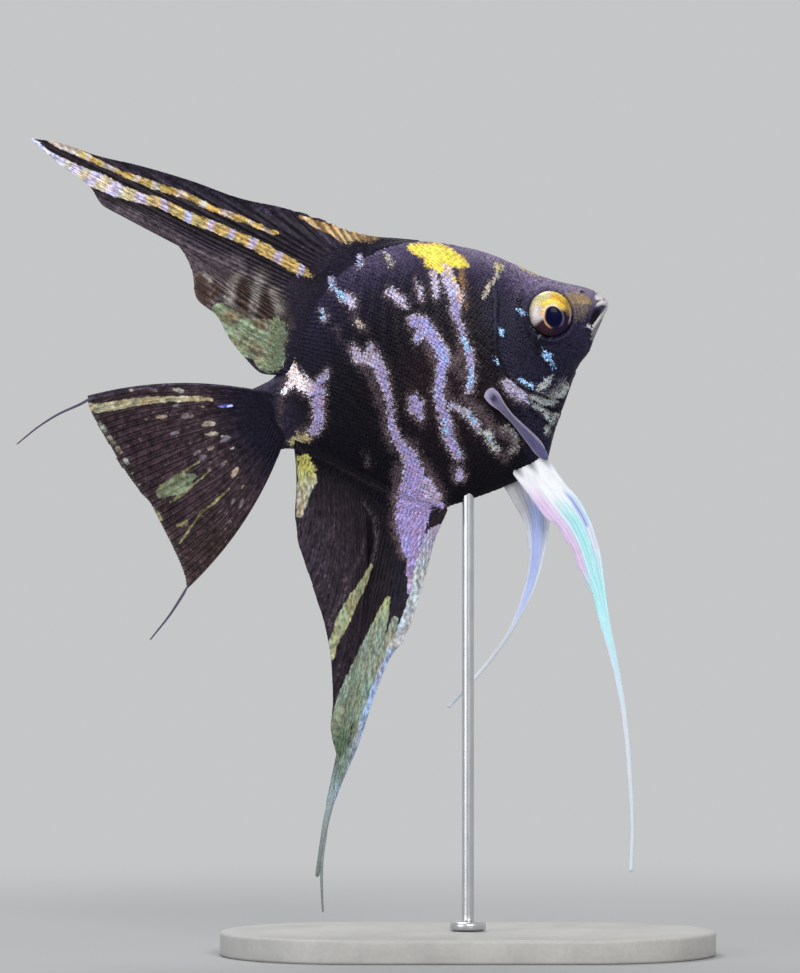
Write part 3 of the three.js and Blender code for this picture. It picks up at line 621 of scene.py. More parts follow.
# gold of the nape, the crown and the snout's bridge
GOLD = [
    [(49, 27.6, 1), (51.4, 26, 1.8), (54.6, 24.4, 2.4), (56.9, 22.1, 2.4), (59.4, 19.9, 1.4),
     (60.5, 19.3, 0.8)],
    [(52.4, 22.8, 1.8), (54.7, 19.9, 1.4), (55.8, 17.9, 0.8), (56.4, 15.7, 0.5), (56.7, 13.6, 0.3)],
    [(68.1, 16, 1)], [(72.6, 14.8, 0.2), (74.4, 13.6, 0.5), (76.4, 11.8, 0.5), (78, 10.6, 0.1)],
    [(11.1, 11.1, 0.6), (11.6, 9.6, 0.5)]]
# cream and chalk spots of the head and throat
CREAM = [
    [(66.7, 14.3, 0.5), (65.9, 13.3, 0.3), (63.9, 12.1, 0.6), (63.1, 11.3, 0.3), (61.8, 9.9, 0.3)],
    [(30.1, 14.4, 0.45), (31.1, 13.3, 0.5)], [(42.2, 28.6, 0.4), (42.8, 25.5, 0.4)],
    [(7.2, -8.5, 1.1), (5.1, -9.1, 0.8), (9.2, -8.6, 0.8)],
    [(67.6, -15.9, 0.7), (69.6, -15, 0.9), (71.2, -14, 0.6)],
    [(65.7, -18, 1.1), (66.9, -19.9, 1.3), (69.2, -19.4, 0.8), (71.2, -19.6, 0.8), (73.2, -18.4, 0.7),
     (74.4, -17.2, 0.6)],
    [(67.4, -22.3, 0.8), (68, -24.2, 0.5), (66.2, -26.4, 0.4), (70.4, -22.8, 0.4)],
    [(56.8, -22.4, 0.5), (58.8, -25.1, 0.6), (58.2, -27.7, 0.6), (55.9, -29, 0.3)]]
# blue sparks
BLUE = [
    [(69.2, 4.3, 0.2), (69.9, 3.2, 0.55)], [(63.3, 1.9, 0.3), (63.6, 0.3, 0.5)],
    [(59.8, -4.9, 0.1), (60.2, -6.2, 0.4)],
    [(71.5, -7.4, 0.3), (72.5, -8.6, 0.85), (72.9, -10.2, 0.5), (73, -11.8, 0.1)],
    [(63.8, -11.9, 0.1), (64.9, -13.3, 0.3), (66.2, -15, 0.1)],
    [(54, 3.4, 0.1), (54.1, 1.6, 0.4), (54.3, -0.8, 0.6), (54.2, -2.2, 0.3)],
    [(53.3, -6.1, 0.1), (52.3, -8.3, 0.5), (51.5, -9.9, 0.3)], [(48, 0, 0.4), (47.7, -1.7, 0.5)],
    [(26.8, 26.4, 0.5), (27.3, 24.9, 0.4), (29.1, 20.8, 0.5)], [(22.7, 19, 0.5)], [(35.3, 28.3, 0.5)],
    [(43, -15.7, 0.4), (42.7, -18.8, 0.5)], [(49.7, -16.9, 0.5), (50.3, -18.4, 0.3)], [(52.5, -24.2, 0.4)],
    [(43.9, -24.7, 0.4)], [(-9.7, 5.6, 0.2), (-6.6, 4.6, 0.4)], [(33.4, -35.7, 0.4)]]
# the snout's khaki patch
KHAKI = [[(81.4, 3.1, 1.1), (82.9, 3.2, 1.1), (84.6, 2.5, 1.1), (86, 1.4, 0.8), (86.7, 0.4, 0.4)]]
# the dorsal fin's two stripes, its spines' gold and its green, pale, brown and mauve patches
DORSAL_THIN = [
    (-29.1, 83, 0.39), (-28, 81.5, 0.47), (-26.2, 79.8, 0.7), (-21.9, 75.9, 0.7), (-17.9, 72, 0.47),
    (-14.4, 68.8, 0.31), (-12.4, 67.1, 0.55), (-8.2, 63.7, 0.7), (-4, 60.5, 0.7), (0.2, 57.3, 0.7),
    (3.1, 54.3, 0.62), (6.2, 51.6, 0.55), (9.3, 49.1, 0.55), (12.4, 46.6, 0.55), (16, 43.4, 0.47),
    (18.1, 41.9, 0.31)]
DORSAL_WIDE = [
    (-33.4, 84.5, 0.4), (-31.4, 81, 0.5), (-29.2, 77.7, 0.8), (-26.9, 74.9, 1.2), (-23.5, 71.1, 1.7),
    (-19.4, 67.7, 1.9), (-15.9, 64.3, 1.6), (-11.7, 61.1, 1.12), (-7.4, 58.4, 1.03), (-4.4, 55.5, 1.2),
    (-1.4, 52.5, 1.2), (1.7, 49.9, 1.2), (4.8, 47.5, 1.12), (8.3, 44.2, 1.03), (11.3, 41.4, 1.2),
    (13.8, 38.9, 1.38), (16.2, 36.1, 1.38), (18.6, 33.6, 1.46), (21, 30.9, 1.29), (22.3, 29.2, 0.52)]
DORSAL_SPINES = [
    (24.8, 44, 0.3), (26.3, 42.7, 0.5), (28.8, 40.3, 0.9), (31.4, 38.4, 1.2), (33.9, 35.8, 1.6),
    (36.9, 35, 1.4), (39.6, 33.4, 0.9), (41.5, 33.2, 0.4)]
DORSAL_GREEN = [
    [(-1.7, 28.1, 1.8), (0.7, 23.5, 3.1), (2.1, 19.7, 4.7), (6.7, 17.5, 5), (6.5, 13, 3.8)],
    [(10.2, 16.4, 1.9), (10.8, 20.1, 1.6)]]
DORSAL_PALE = [
    [(-2.4, 37.7, 0.9), (-1.6, 36.1, 0.6)], [(5.5, 35.7, 1), (3.3, 33.2, 0.9), (1.8, 29.7, 1)],
    [(10.4, 32.8, 0.9), (7.9, 29, 1), (6.1, 25.6, 1.1)], [(12.2, 28.2, 0.9), (12.3, 23.6, 1)]]
DORSAL_BROWN = [
    [(-4, 36.9, 1.4), (-4.2, 32.4, 1.9), (-1.2, 33.4, 1.4)],
    [(5.7, 32.4, 1), (4.5, 28.8, 1.6), (4.1, 25.6, 1.2)],
    [(10.3, 27.5, 1), (8.7, 22.8, 1.6), (8.4, 18.9, 0.9)], [(12.2, 20.3, 1.1)]]
DORSAL_MAUVE = [
    [(-17.6, 59.3, 1.9), (-11.9, 52.7, 2.8), (-5.8, 45.4, 3.1), (-0.4, 39.7, 3.1), (5.5, 37.7, 3.1)]]
# the tail fin's stripe and spots
TAIL_STRIPE = [
    (-40.5, 15.8, 0.7), (-38.1, 14.5, 1.1), (-33.7, 13.9, 0.9), (-27, 12.8, 0.8), (-20.5, 11.1, 0.6),
    (-14.7, 9.2, 0.5), (-10.6, 7.6, 0.3)]
TAIL_SPOT_PLACES = [
    (-29.1, 16.2), (-23.8, 14.5), (-18, 12.5), (-13.5, 6.8), (-19.5, 8.9), (-17.9, 5.7), (-18.6, 3),
    (-18.5, -3.8), (-13.8, 2.3), (-13.8, -0.2), (-17.3, -5.4), (-10.8, -2.8), (-9.7, -5.5), (-13, -8.5),
    (-11.1, -11.5), (-10.4, -15.6), (-13.7, -18.3), (-12, -19.4), (-16, -22.8), (-22.2, 2.7), (-24.1, 7.5),
    (-28, 8.2), (-14.7, -3.9)]
TAIL_CENTRE = (6.0, 0.5)  # where the tail fin's rays would meet


def drawn_out(x, z, size):
    """A spot drawn out along the tail fin's rays."""
    dx, dz = x - TAIL_CENTRE[0], z - TAIL_CENTRE[1]
    far = 2.2 * size / math.hypot(dx, dz)
    return [(x - dx * far, z - dz * far, size * 0.6), (x, z, size), (x + dx * far, z + dz * far, size * 0.5)]


TAIL_SPOTS = [drawn_out(x, z, 0.14 + 0.17 * (k % 3)) for k, (x, z) in enumerate(TAIL_SPOT_PLACES)]
TAIL_RIM = [
    [(-39.2, 10.9, 0.4), (-38.6, 9, 0.6)], [(-38.1, 6.9, 0.5), (-37.5, 5.4, 0.4)],
    [(-37, 3.7, 0.5), (-36.7, 2.4, 0.3)], [(-36, 0.3, 0.35), (-35.8, -0.8, 0.3)], [(-35.4, -3.6, 0.3)],
    [(-34.8, -7, 0.3)]]
TAIL_DASHES = [
    [(-14.9, 2.4, 0.25), (-12.2, 1.7, 0.3)], [(-14.9, -0.2, 0.25), (-12, -0.9, 0.3)],
    [(-11.2, -1.9, 0.2), (-9.6, -2.7, 0.2)]]
TAIL_GREEN = [[(-29.9, -10.4, 1.3), (-26.9, -10, 2.1), (-23.9, -9.4, 1.8), (-21.3, -9.2, 0.7)]]
TAIL_STREAKS = [
    [(-30.8, -9, 0.05), (-24.5, -7.6, 0.15), (-18.7, -6.1, 0.05)],
    [(-28.7, -13.4, 0.2), (-22.2, -11.3, 0.15), (-16.7, -9, 0.05)],
    [(-33.4, -13.4, 0.3), (-32.9, -15.4, 0.5), (-32.2, -16.8, 0.1)],
    [(-29.9, -24, 0.05), (-22.2, -18.4, 0.2), (-17.5, -16.7, 0.2), (-13.8, -15, 0.05)],
    [(-28.6, -19.6, 0.2), (-26.4, -19.5, 0.45)]]
# the anal fin's patches and streaks
ANAL_YELLOW = [
    (6.2, -14.1, 1.6), (5.9, -16.3, 2.1), (5.9, -18.6, 2.1), (3.9, -21.1, 1.8), (2.6, -23.7, 1.3),
    (0.9, -26.7, 0.6)]
ANAL_STRIPE = [
    (14.1, -44.3, 0.2), (10.8, -47.8, 0.7), (6.9, -51.2, 1.25), (3, -55, 1.5), (-0.9, -59.4, 1.1),
    (-2.9, -63.2, 0.4)]
ANAL_STREAKS = [
    [(14.1, -44.3, 0.4), (17, -39.4, 0.4), (18.3, -33.6, 0.3), (17.1, -29, 0.2)],
    [(6.6, -46, 0.3), (10.8, -42.8, 0.3), (14.6, -37.8, 0.2)],
    [(-1, -54.3, 0.4), (3.2, -51.1, 0.3), (8.1, -45.7, 0.2)]]
ANAL_GREEN = [
    (15.4, -53.4, 0.4), (12.6, -57.2, 1.3), (8.8, -62.4, 2.4), (4, -68.6, 3.2), (-1, -74, 3.3),
    (-5.5, -79.2, 2.6), (-7.2, -83.3, 1.8), (-8.4, -87.8, 1.2), (-12, -92.8, 1), (-15, -98, 0.8)]
ANAL_BLUE = [
    (15.4, -59, 0.6), (12, -63.6, 1), (8, -68, 1.2), (3, -74, 1.2), (-1.6, -80.8, 1.2), (-6.2, -88.3, 0.9),
    (-11.1, -93.6, 0.4)]
ANAL_PINK = [(27, -40.4, 0.9), (25.6, -44.6, 0.9), (23, -49.2, 0.7), (20.6, -53.8, 0.4)]
ANAL_DARK = [(20.4, -46, 1.9), (18.9, -51.7, 1.9), (16.5, -56.3, 1.6)]


def lay(colour, over, share):
    """Lays one colour over others by a share from 0 to 1."""
    return mix(over, np.asarray(colour, float), np.asarray(share)[..., None])


def laid(shape, ground, *washes):
    """A ground colour with washes (colour, share) laid over it, one after the other."""
    colours = np.broadcast_to(np.array(ground, float), (*shape, 3))
    for colour, share in washes:
        colours = lay(colour, colours, share)
    return colours


def layer(x, z, marks):
    """The nearest of several marks at each place: how deep the place is in it, and its tint."""
    depth = np.full(np.shape(x), OUTSIDE)
    tint = np.full((*np.shape(x), 3), 0.1)
    for chains, colour in marks:
        here = deepest(x, z, chains)
        near = here > depth
        depth = np.where(near, here, depth)
        tint = np.where(near[..., None], colour, tint)
    return depth, tint


def layers(ground, wash=None, mark=None, spark=None):
    """The attributes of one painted grid, from its ground and (depth, tint) layers over it."""
    values = dict(ground=ground)
    none = (np.full(ground.shape[:-1], OUTSIDE), np.zeros(ground.shape))
    for name, pair in (("wash", wash), ("mark", mark), ("spark", spark)):
        values[name], values[name + "_tint"] = pair or none
    return values


def body_ground(x, z):
    """The body's ground: violet black, navy on the cheek; paler along the back and snout, partly as painted
    sheen.
    """
    from_back = np.maximum(back(x) - z, 0)
    from_belly = np.maximum(z - belly(x), 0)
    front = ease(x, 58, 63) * ease(10 - z, 0, 5)
    stalk = ease(12 - x, 0, 6)
    keel = np.exp(-from_belly / 4) * ease(x, 30, 40) * (1 - ease(x, 62, 66))
    return laid(
        np.shape(x), (0.0026, 0.0021, 0.0045),
        # The paler washes near the back's edge, over the crown, on top of the snout and along the stalk's top
        # rim are partly pigment and partly painted sheen of the light from above.
        ((0.012, 0.0095, 0.024), ease(x, 8, 20) * hump(from_back, 15)),
        ((0.052, 0.041, 0.086), ease(x, 18, 34) * hump(from_back, 6.5)),
        ((0.085, 0.067, 0.13), ease(x, 34, 40) * hump(from_back, 5) * 0.9),
        ((0.015, 0.007, 0.0105), hump(x - 46, 11) * hump(z + 9, 13) * 0.9),
        ((0.013, 0.012, 0.029), front * 0.9),
        ((0.04, 0.033, 0.07), ease(x, 56, 66) * hump(from_back, 11)),
        ((0.185, 0.15, 0.235), ease(x, 50, 64) * hump(from_back, 3.6)),
        ((0.15, 0.115, 0.2), hump(x - 75, 4.5) * hump(z - 9.8, 3) * 0.8),
        ((0.0045, 0.0045, 0.0125), hump(x - 72, 5) * hump(z + 4.5, 5) * 0.9),
        ((0.18, 0.15, 0.215), ease(x, 79, 83) * ease(z, -2, 3.5) * 0.8),
        ((0.017, 0.015, 0.034), ease(x, 80, 84) * ease(-z, 1, 5)),
        ((0.015, 0.012, 0.024), stalk * 0.9),
        ((0.1, 0.085, 0.14), stalk * np.exp(-from_back / 1.6) * 0.8),
        ((0.003, 0.0025, 0.0045), keel * 0.7))


SNOUT_WASH = [[(81, 1.4, 1.4), (83.5, 0.8, 2), (85, -0.4, 1.4), (82.6, -1.6, 1.2)]]
THROAT_WASH = [
    [(65.5, -17.5, 1.8), (68.5, -19.5, 2), (72, -18, 1.6), (74, -16.5, 1)],
    [(67.6, -21, 1.6), (69.4, -23, 1.2), (67, -26.5, 1)]]
AMBER = [[(60.4, 21, 0.9), (58.4, 16.5, 1.1), (57.6, 12.8, 0.9), (57, 9, 0.5)]]
UPPER_LIP_PAINT = [
    [(88.7, 1.2, 0.5), (89.5, 1, 0.75)], [(89.6, 1.7, 0.5), (90.3, 0.9, 0.4), (90.8, 0, 0.4)],
    [(87.5, -0.7, 0.15), (88.6, -0.45, 0.4), (89.6, -0.4, 0.62), (90.4, -0.9, 0.6), (90.5, -1.8, 0.35)]]
LOWER_LIP_PAINT = [
    [(90.4, -2.0, 0.35), (89.2, -2.9, 0.38), (87.9, -3.8, 0.42), (86.4, -4.9, 0.45), (85.2, -5.8, 0.5)],
    [(84.3, -4.8, 0.12), (85, -5.6, 0.3)]]
JAW_PAINT = [[(87.4, -5, 0.4), (86, -6.2, 0.75), (85, -7.2, 0.7), (84.5, -8.2, 0.3)]]
CHEEK_FLECKS = [[(71.3, 0, 0.05), (71.1, -1.2, 0.1)], [(71.7, -3.5, 0.12)], [(74.6, -4.6, 0.12)]]
# Painted shade: near black in the gape and the mouth's web, in the nostril's pit, and along the cheek's
# groove, the gill opening and the throat's folds.
MOUTH_DARK = [
    [(90.4, -1.5, 0.04), (89.2, -1.8, 0.16)],
    [(88.8, -1.8, 0.15), (87.3, -2.5, 0.68), (86.3, -3.5, 0.6), (85.4, -4.3, 0.25)]]
NOSTRIL_DARK = [[(NOSTRIL[0] - 0.1, NOSTRIL[1], 0.22), (NOSTRIL[0] + 0.35, NOSTRIL[1] - 0.15, 0.12)]]
CHEEK_DARK = [[(70.0, 7.0, 0.05), (69.6, 2, 0.12), (69.4, -3, 0.1), (70.4, -8, 0.05)]]
GILL_DARK = [
    [(65.2, 9.4, 0.05), (62.6, 2, 0.1), (60.5, -4.6, 0.16), (60.7, -9.8, 0.2), (63.9, -14.9, 0.2),
     (69, -18.8, 0.2)],
    [(69, -18.8, 0.2), (74, -21.4, 0.15)], [(64.5, -17.4, 0.15), (69, -21.6, 0.3), (72, -22.8, 0.15)],
    [(63.8, -20, 0.1), (67.4, -25, 0.3), (68.6, -27, 0.2)]]
LILAC_TINT, GOLD_TINT, RUMP_LILAC = (0.28, 0.23, 0.41), (0.82, 0.7, 0.1), (0.35, 0.275, 0.53)
BODY_WASH = [
    (FRINGE[:4], (0.098, 0.07, 0.08)), (FRINGE[4:], (0.075, 0.053, 0.062)), (AMBER, (0.34, 0.19, 0.1)),
    (SNOUT_WASH, (0.15, 0.12, 0.09)), (THROAT_WASH, (0.16, 0.16, 0.165))]
BODY_MARKS = [
    (LILAC, LILAC_TINT), (GOLD[:2], GOLD_TINT), (GOLD[2:], (0.46, 0.38, 0.2)),
    (CREAM[:3], (0.42, 0.385, 0.32)), (CREAM[3:4], (0.36, 0.3, 0.16)), (CREAM[4:7], (0.33, 0.36, 0.36)),
    (CREAM[7:], (0.19, 0.17, 0.17)), (KHAKI, (0.27, 0.19, 0.108)), (UPPER_LIP_PAINT, (0.56, 0.54, 0.55)),
    (LOWER_LIP_PAINT, (0.44, 0.425, 0.42)), (JAW_PAINT, (0.2, 0.19, 0.2)), (CHEEK_FLECKS, (0.3, 0.3, 0.3))]
PAINTED_SHADE = [
    (MOUTH_DARK, (0.006, 0.004, 0.012)), (NOSTRIL_DARK, (0.022, 0.014, 0.026)),
    (CHEEK_DARK, (0.004, 0.003, 0.006)), (GILL_DARK, (0.0035, 0.003, 0.005))]


def is_tint(tints, colour):
    """Where a mark's tint is this colour."""
    return np.abs(tints - colour).sum(-1) < 0.01


def body_tints(x, z, mark, tints, within):
    """The marks' tints, with the casts that the lilac and the gold take from place to place.

    `within(low, high, *chain)` is how far a place is inside a chain of circles, from 0 at low to 1 at high.
    """
    lilac, gold = is_tint(tints, LILAC_TINT), is_tint(tints, GOLD_TINT)
    lilac_casts = [
        ((0.3, 0.3, 0.6), hump(x - 47, 5) * hump(z + 2, 14) * 0.8),
        ((0.5, 0.46, 0.62), ease(z, 10, 15) * 0.8),
        ((0.36, 0.34, 0.5), ease(x, 57, 60)),
        (RUMP_LILAC, ease(-z, 18, 26)),
        ((0.62, 0.44, 0.34), within(-1, 0.5, (57.4, 13.5, 1), (57, 10.5, 0.9))),
        ((0.42, 0.36, 0.46), within(-1, 1, (33.7, -30, 2), (34.5, -34, 2)) * 0.7),
        ((0.37, 0.33, 0.4), hump(x - 29, 4) * hump(z - 5, 4) * 0.8),
        ((0.38, 0.33, 0.38), (1 - ease(mark, -0.3, 0.7)) * 0.7),
        ((0.36, 0.34, 0.4), within(-1, 0, (47.4, -14.3, 2), (50.6, -20, 2)) * 0.8),
        ((0.4, 0.41, 0.38), within(-1, 0, (52.3, -22.5, 2), (52.8, -26.6, 2))),
        ((0.72, 0.56, 0.42), within(-2.2, 0.4, (53, 25, 4), (57, 21, 2.5)) * 0.8),
        ((0.82, 0.72, 0.73), ease(16 - x, 0, 3.5) * ease(z, 0, 4))]
    gold_casts = [
        ((0.84, 0.78, 0.13), within(-0.8, 0.8, (52.2, 25.6, 1.6), (55, 23.4, 1.8))),
        ((0.62, 0.42, 0.14), (1 - ease(mark, -0.2, 1.0)) * 0.85)]
    for which, casts in ((lilac, lilac_casts), (gold, gold_casts)):
        for colour, share in casts:
            tints = lay(colour, tints, which * share)
    return tints


def body_paint(points):
    """The paint on the body: a ground and three layers of marks over it."""
    x, y, z = np.moveaxis(points, -1, 0)
    left = ease(y, 0.3, 2.5)  # the left side's marks wander a little from the right side's
    mx, mz = (v + left * 2.0 * ripple(x, z, seed, 16) for v, seed in ((x, 11), (z, 12)))
    wash, wash_tint = layer(mx, mz, BODY_WASH)
    mark, tints = layer(mx, mz, BODY_MARKS)
    halo = np.where(is_tint(tints, LILAC_TINT), mark + 0.8, OUTSIDE)
    wash_tint = np.where((halo > wash - 0.4)[..., None], (0.175, 0.135, 0.155), wash_tint)
    spark, spark_tint = layer(mx, mz, [(BLUE, (0.17, 0.37, 0.66))])
    # the painted shade of the mouth, nostril, cheek groove, gill opening and throat folds, carried in the
    # spark layer
    dark, shade_tint = layer(x, z, PAINTED_SHADE)
    spark_tint = np.where((dark > spark)[..., None], shade_tint, spark_tint)
    tinted = body_tints(x, z, mark, tints, lambda low, high, *chain: ease(depth_in(mx, mz, chain), low, high))
    snout = 0.6 * hump(x - 83.8, 2.6) * hump(z - 2, 2.6)
    values = layers(body_ground(x, z), (np.maximum(wash, halo), wash_tint), (mark, tinted),
                    (np.maximum(spark, dark), spark_tint))
    calm = np.maximum(0.75 * np.maximum(is_tint(tints, GOLD_TINT), snout), ease(x, 84.3, 86))
    return values | dict(calm=calm, grain=joined(x, z, y))


def rayed(values, facts, dark, light, fade=(1, 9)):
    """Fin paint with its rays drawn in: ground and marks, darker between rays and lighter on them."""
    near = ease(facts["out"], *fade) if "out" in facts else 1
    stroke = mix(dark, light, facts["ridge"])
    values["ground"] = values["ground"] * mix(1, stroke, near)[..., None]
    for key in ("mark_tint", "wash_tint"):
        values[key] = values[key] * mix(1, 0.5 + 0.5 * stroke, 0.6 * near)[..., None]
    return values


def checked(x, z, chain, ripples, pitch, start):
    """How far along a striped chain each place is, and the wave of its checks, from -1 to 1."""
    height, seed, size = ripples
    run = along_chain(x, z, chain) + height * ripple(x, z, seed, size)
    return run, np.cos((run - start) * 2 * np.pi / pitch)


def dorsal_paint(x, z, facts):
    u, out = facts["u"], facts["out"]
    ground = laid(
        np.shape(x), (0.021, 0.015, 0.0255),
        ((0.042, 0.031, 0.042), ease(u, 0.5, 0.7) * ease(out, 8, 26)),
        ((0.009, 0.007, 0.014), hump(u - 0.36, 0.08) * ease(out, 4, 12) * 0.75),
        ((0.009, 0.006, 0.007), 0.85 * ease(depth_in(x, z, DORSAL_WIDE) + 3, 0, 2.4) * ease(u, 0.3, 0.36)),
        ((0.015, 0.012, 0.028), np.exp(-np.maximum(out, 0) / 5) * 0.9),
        ((0.1, 0.08, 0.07), ease(deepest(x, z, DORSAL_BROWN + DORSAL_PALE), -3, 0.5) * 0.6),
        ((0.2, 0.185, 0.17), ease(deepest(x, z, DORSAL_PALE), -1.3, 0.9) * 0.6),
        ((0.03, 0.016, 0.013), ease(deepest(x, z, DORSAL_BROWN), -1.4, 0.7) * 0.9))
    run, wave = checked(x, z, DORSAL_WIDE, (1.7, 21, 13), 6.2, 17)
    front = ease(run, 20, 50)
    gold = lay((0.46, 0.34, 0.12), (0.52, 0.48, 0.34), ease(run, 18, 45))
    lilac = lay((0.44, 0.41, 0.6), (0.48, 0.46, 0.64), ease(run, 20, 40))
    wide = lay(gold, lilac, ease(wave, mix(-0.6, -0.98, front), mix(0.6, -0.35, front)) * ease(run, 5, 14))
    run, wave = checked(x, z, DORSAL_THIN, (1.3, 22, 9), 6.1, 9)
    thin = lay((0.42, 0.29, 0.08), (0.4, 0.33, 0.28), ease(wave, -0.95, 0) * ease(run, 6, 10))
    green = lay((0.14, 0.12, 0.08), (0.18, 0.215, 0.135), ease(ripple(x, z, 23, 4.5), 0.4, 0.85))
    spines = np.array([0.5, 0.34, 0.16]) * (0.3 + 0.7 * facts["ridge"])[..., None]
    marks = [([DORSAL_WIDE], wide), ([DORSAL_THIN], thin), ([DORSAL_SPINES], spines), (DORSAL_GREEN, green)]
    wash = [
        (DORSAL_MAUVE, (0.085, 0.065, 0.08)), (DORSAL_GREEN, (0.085, 0.085, 0.058)),
        ([DORSAL_SPINES], (0.24, 0.12, 0.055)), (DORSAL_PALE, (0.2, 0.18, 0.17))]
    sparks = [(BLUE[8:11], (0.25, 0.38, 0.8)), (LILAC[13:16], (0.4, 0.36, 0.62))]
    return rayed(layers(ground, layer(x, z, wash), layer(x, z, marks), layer(x, z, sparks)), facts, 0.45, 1.9)


LEAD_EDGE = [tuple(ANAL_EDGE(u)) for u in np.linspace(0.0, 0.37, 24)]


def anal_bands(x, z, u, green):
    """The pale bands along the anal fin's front edge and tip: (depth, tint) pairs, the last on top."""
    lead, _ = line_gap(x, z, LEAD_EDGE)
    ahead = 1 - ease(u, 0.36, 0.4)
    tip = np.minimum((-86 - z) * 0.4, 1.0)
    tip_tint = lay((0.3, 0.35, 0.36), (0.17, 0.23, 0.2), ease(-z, 90, 97))
    white = mix(OUTSIDE, 2.5 - lead, ahead * ease(z, -67.5, -65.5) * (1 - ease(z, -40.5, -38.5)))
    white = np.where(white > -3, white + 0.9 * hump(z + 47, 5), OUTSIDE)
    pearl = lay((0.4, 0.35, 0.5), (0.38, 0.4, 0.41), ease(z, -50, -41))
    blue = np.where(ahead > 0.5, np.minimum(mix(1.5, 1.0, ease(-z, 64, 92)) - lead, (-56 - z) * 0.5), OUTSIDE)
    blue_tint = lay((0.2, 0.27, 0.34), (0.27, 0.34, 0.5), ease(-z, 74, 92))
    green = lay((0.27, 0.31, 0.36), green, 1 - ease(lead, 0.8, 2.4))
    return green, ((tip, tip_tint), (white, pearl), (blue, blue_tint))


def anal_paint(x, z, facts):
    u, out = facts["u"], facts["out"]
    ground = laid(
        np.shape(x), (0.016, 0.0105, 0.0155),
        ((0.004, 0.003, 0.006), hump(u - 0.42, 0.16) * (1 - ease(out, 18, 40)) * 0.9),
        ((0.009, 0.007, 0.015), ease(depth_in(x, z, ANAL_DARK), -1, 1)),
        ((0.034, 0.025, 0.037), ease(u, 0.6, 0.9) * ease(out, 6, 20) * 0.7),
        ((0.004, 0.003, 0.006), hump(np.maximum(out, 0), 6) * ease(u, 0.25, 0.4) * 0.95))
    top = lay((0.45, 0.42, 0.11), (0.36, 0.33, 0.23), ease(z, -21.5, -15.5))
    green = laid(
        np.shape(x), (0.24, 0.28, 0.22), ((0.33, 0.33, 0.14), ease(z, -62, -52)),
        ((0.2, 0.25, 0.18), ease(-z, 66, 76)), ((0.12, 0.18, 0.12), ease(-z, 77, 84)))
    green, bands = anal_bands(x, z, u, green)
    depth, tint = layer(x, z, [
        ([ANAL_YELLOW], top), ([ANAL_STRIPE], (0.27, 0.285, 0.16)), ([ANAL_GREEN], green),
        ([ANAL_BLUE], green), ([ANAL_PINK], (0.4, 0.3, 0.46)), (LILAC[10:12], RUMP_LILAC)])
    for near, colour in bands:
        over = near > np.maximum(depth, -0.6) - 0.4 * (near > 0)
        depth, tint = np.where(over, np.maximum(near, depth), depth), np.where(over[..., None], colour, tint)
    wash = [
        (ANAL_STREAKS, (0.13, 0.105, 0.115)), (FRINGE[5:7], (0.12, 0.085, 0.1)),
        ([ANAL_GREEN], (0.11, 0.11, 0.06)), ([ANAL_YELLOW], (0.15, 0.12, 0.08))]
    return rayed(layers(ground, layer(x, z, wash), (depth, tint)), facts, 0.68, 1.45)


def caudal_paint(x, z, facts):
    u, v, out, phase = facts["u"], facts["v"], facts["out"], facts["phase"]
    ground = laid(
        np.shape(x), (0.026, 0.0155, 0.0195),
        ((0.036, 0.0235, 0.03), hump(out - 17, 7) * 0.7),
        ((0.0055, 0.0045, 0.0125), 1 - ease(out, 4, 17)),
        ((0.03, 0.018, 0.017), ease(u, 0.72, 1) * ease(out, 14, 30) * 0.8),
        ((0.045, 0.038, 0.06), ease(0.05 - u, 0, 0.04) * ease(out, 4, 10) * 0.8),
        ((0.075, 0.064, 0.06), ease(1.6 - facts["to_edge"], 0, 1.6) * 0.5))
    fork = 0.25 * ease(v, 0.42, 0.78)
    spread = np.minimum(np.abs(phase - 0.5 - fork), np.abs(phase - 0.5 + fork))
    dark, rim = hump(spread, 0.07), hump(spread - 0.14, 0.045)
    stroke = (1 - 0.7 * dark) * (1 + 0.9 * rim)
    spot = lay((0.3, 0.25, 0.19), (0.15, 0.12, 0.14), ease(ripple(x, z, 31, 6), -0.3, 0.3))
    marks = [
        ([TAIL_STRIPE], (0.38, 0.33, 0.2)), (TAIL_SPOTS, spot), (TAIL_RIM, (0.22, 0.21, 0.16)),
        (TAIL_DASHES, (0.33, 0.3, 0.22)), (TAIL_GREEN, (0.16, 0.18, 0.105)),
        (TAIL_STREAKS, (0.2, 0.19, 0.085))]
    wash = [
        (TAIL_SPOTS, (0.075, 0.052, 0.065)), (TAIL_RIM, (0.11, 0.1, 0.085)),
        ([TAIL_STRIPE], (0.11, 0.085, 0.07)), (TAIL_GREEN, (0.08, 0.085, 0.055)),
        (TAIL_STREAKS, (0.09, 0.08, 0.04))]
    sparks = [(BLUE[15:16], (0.1, 0.12, 0.5))]
    ground = ground * mix(1, stroke, ease(out, 3, 10))[..., None]
    values = layers(ground, layer(x, z, wash), layer(x, z, marks), layer(x, z, sparks))
    values["mark_tint"] = values["mark_tint"] * (1 - 0.5 * dark)[..., None]
    return values


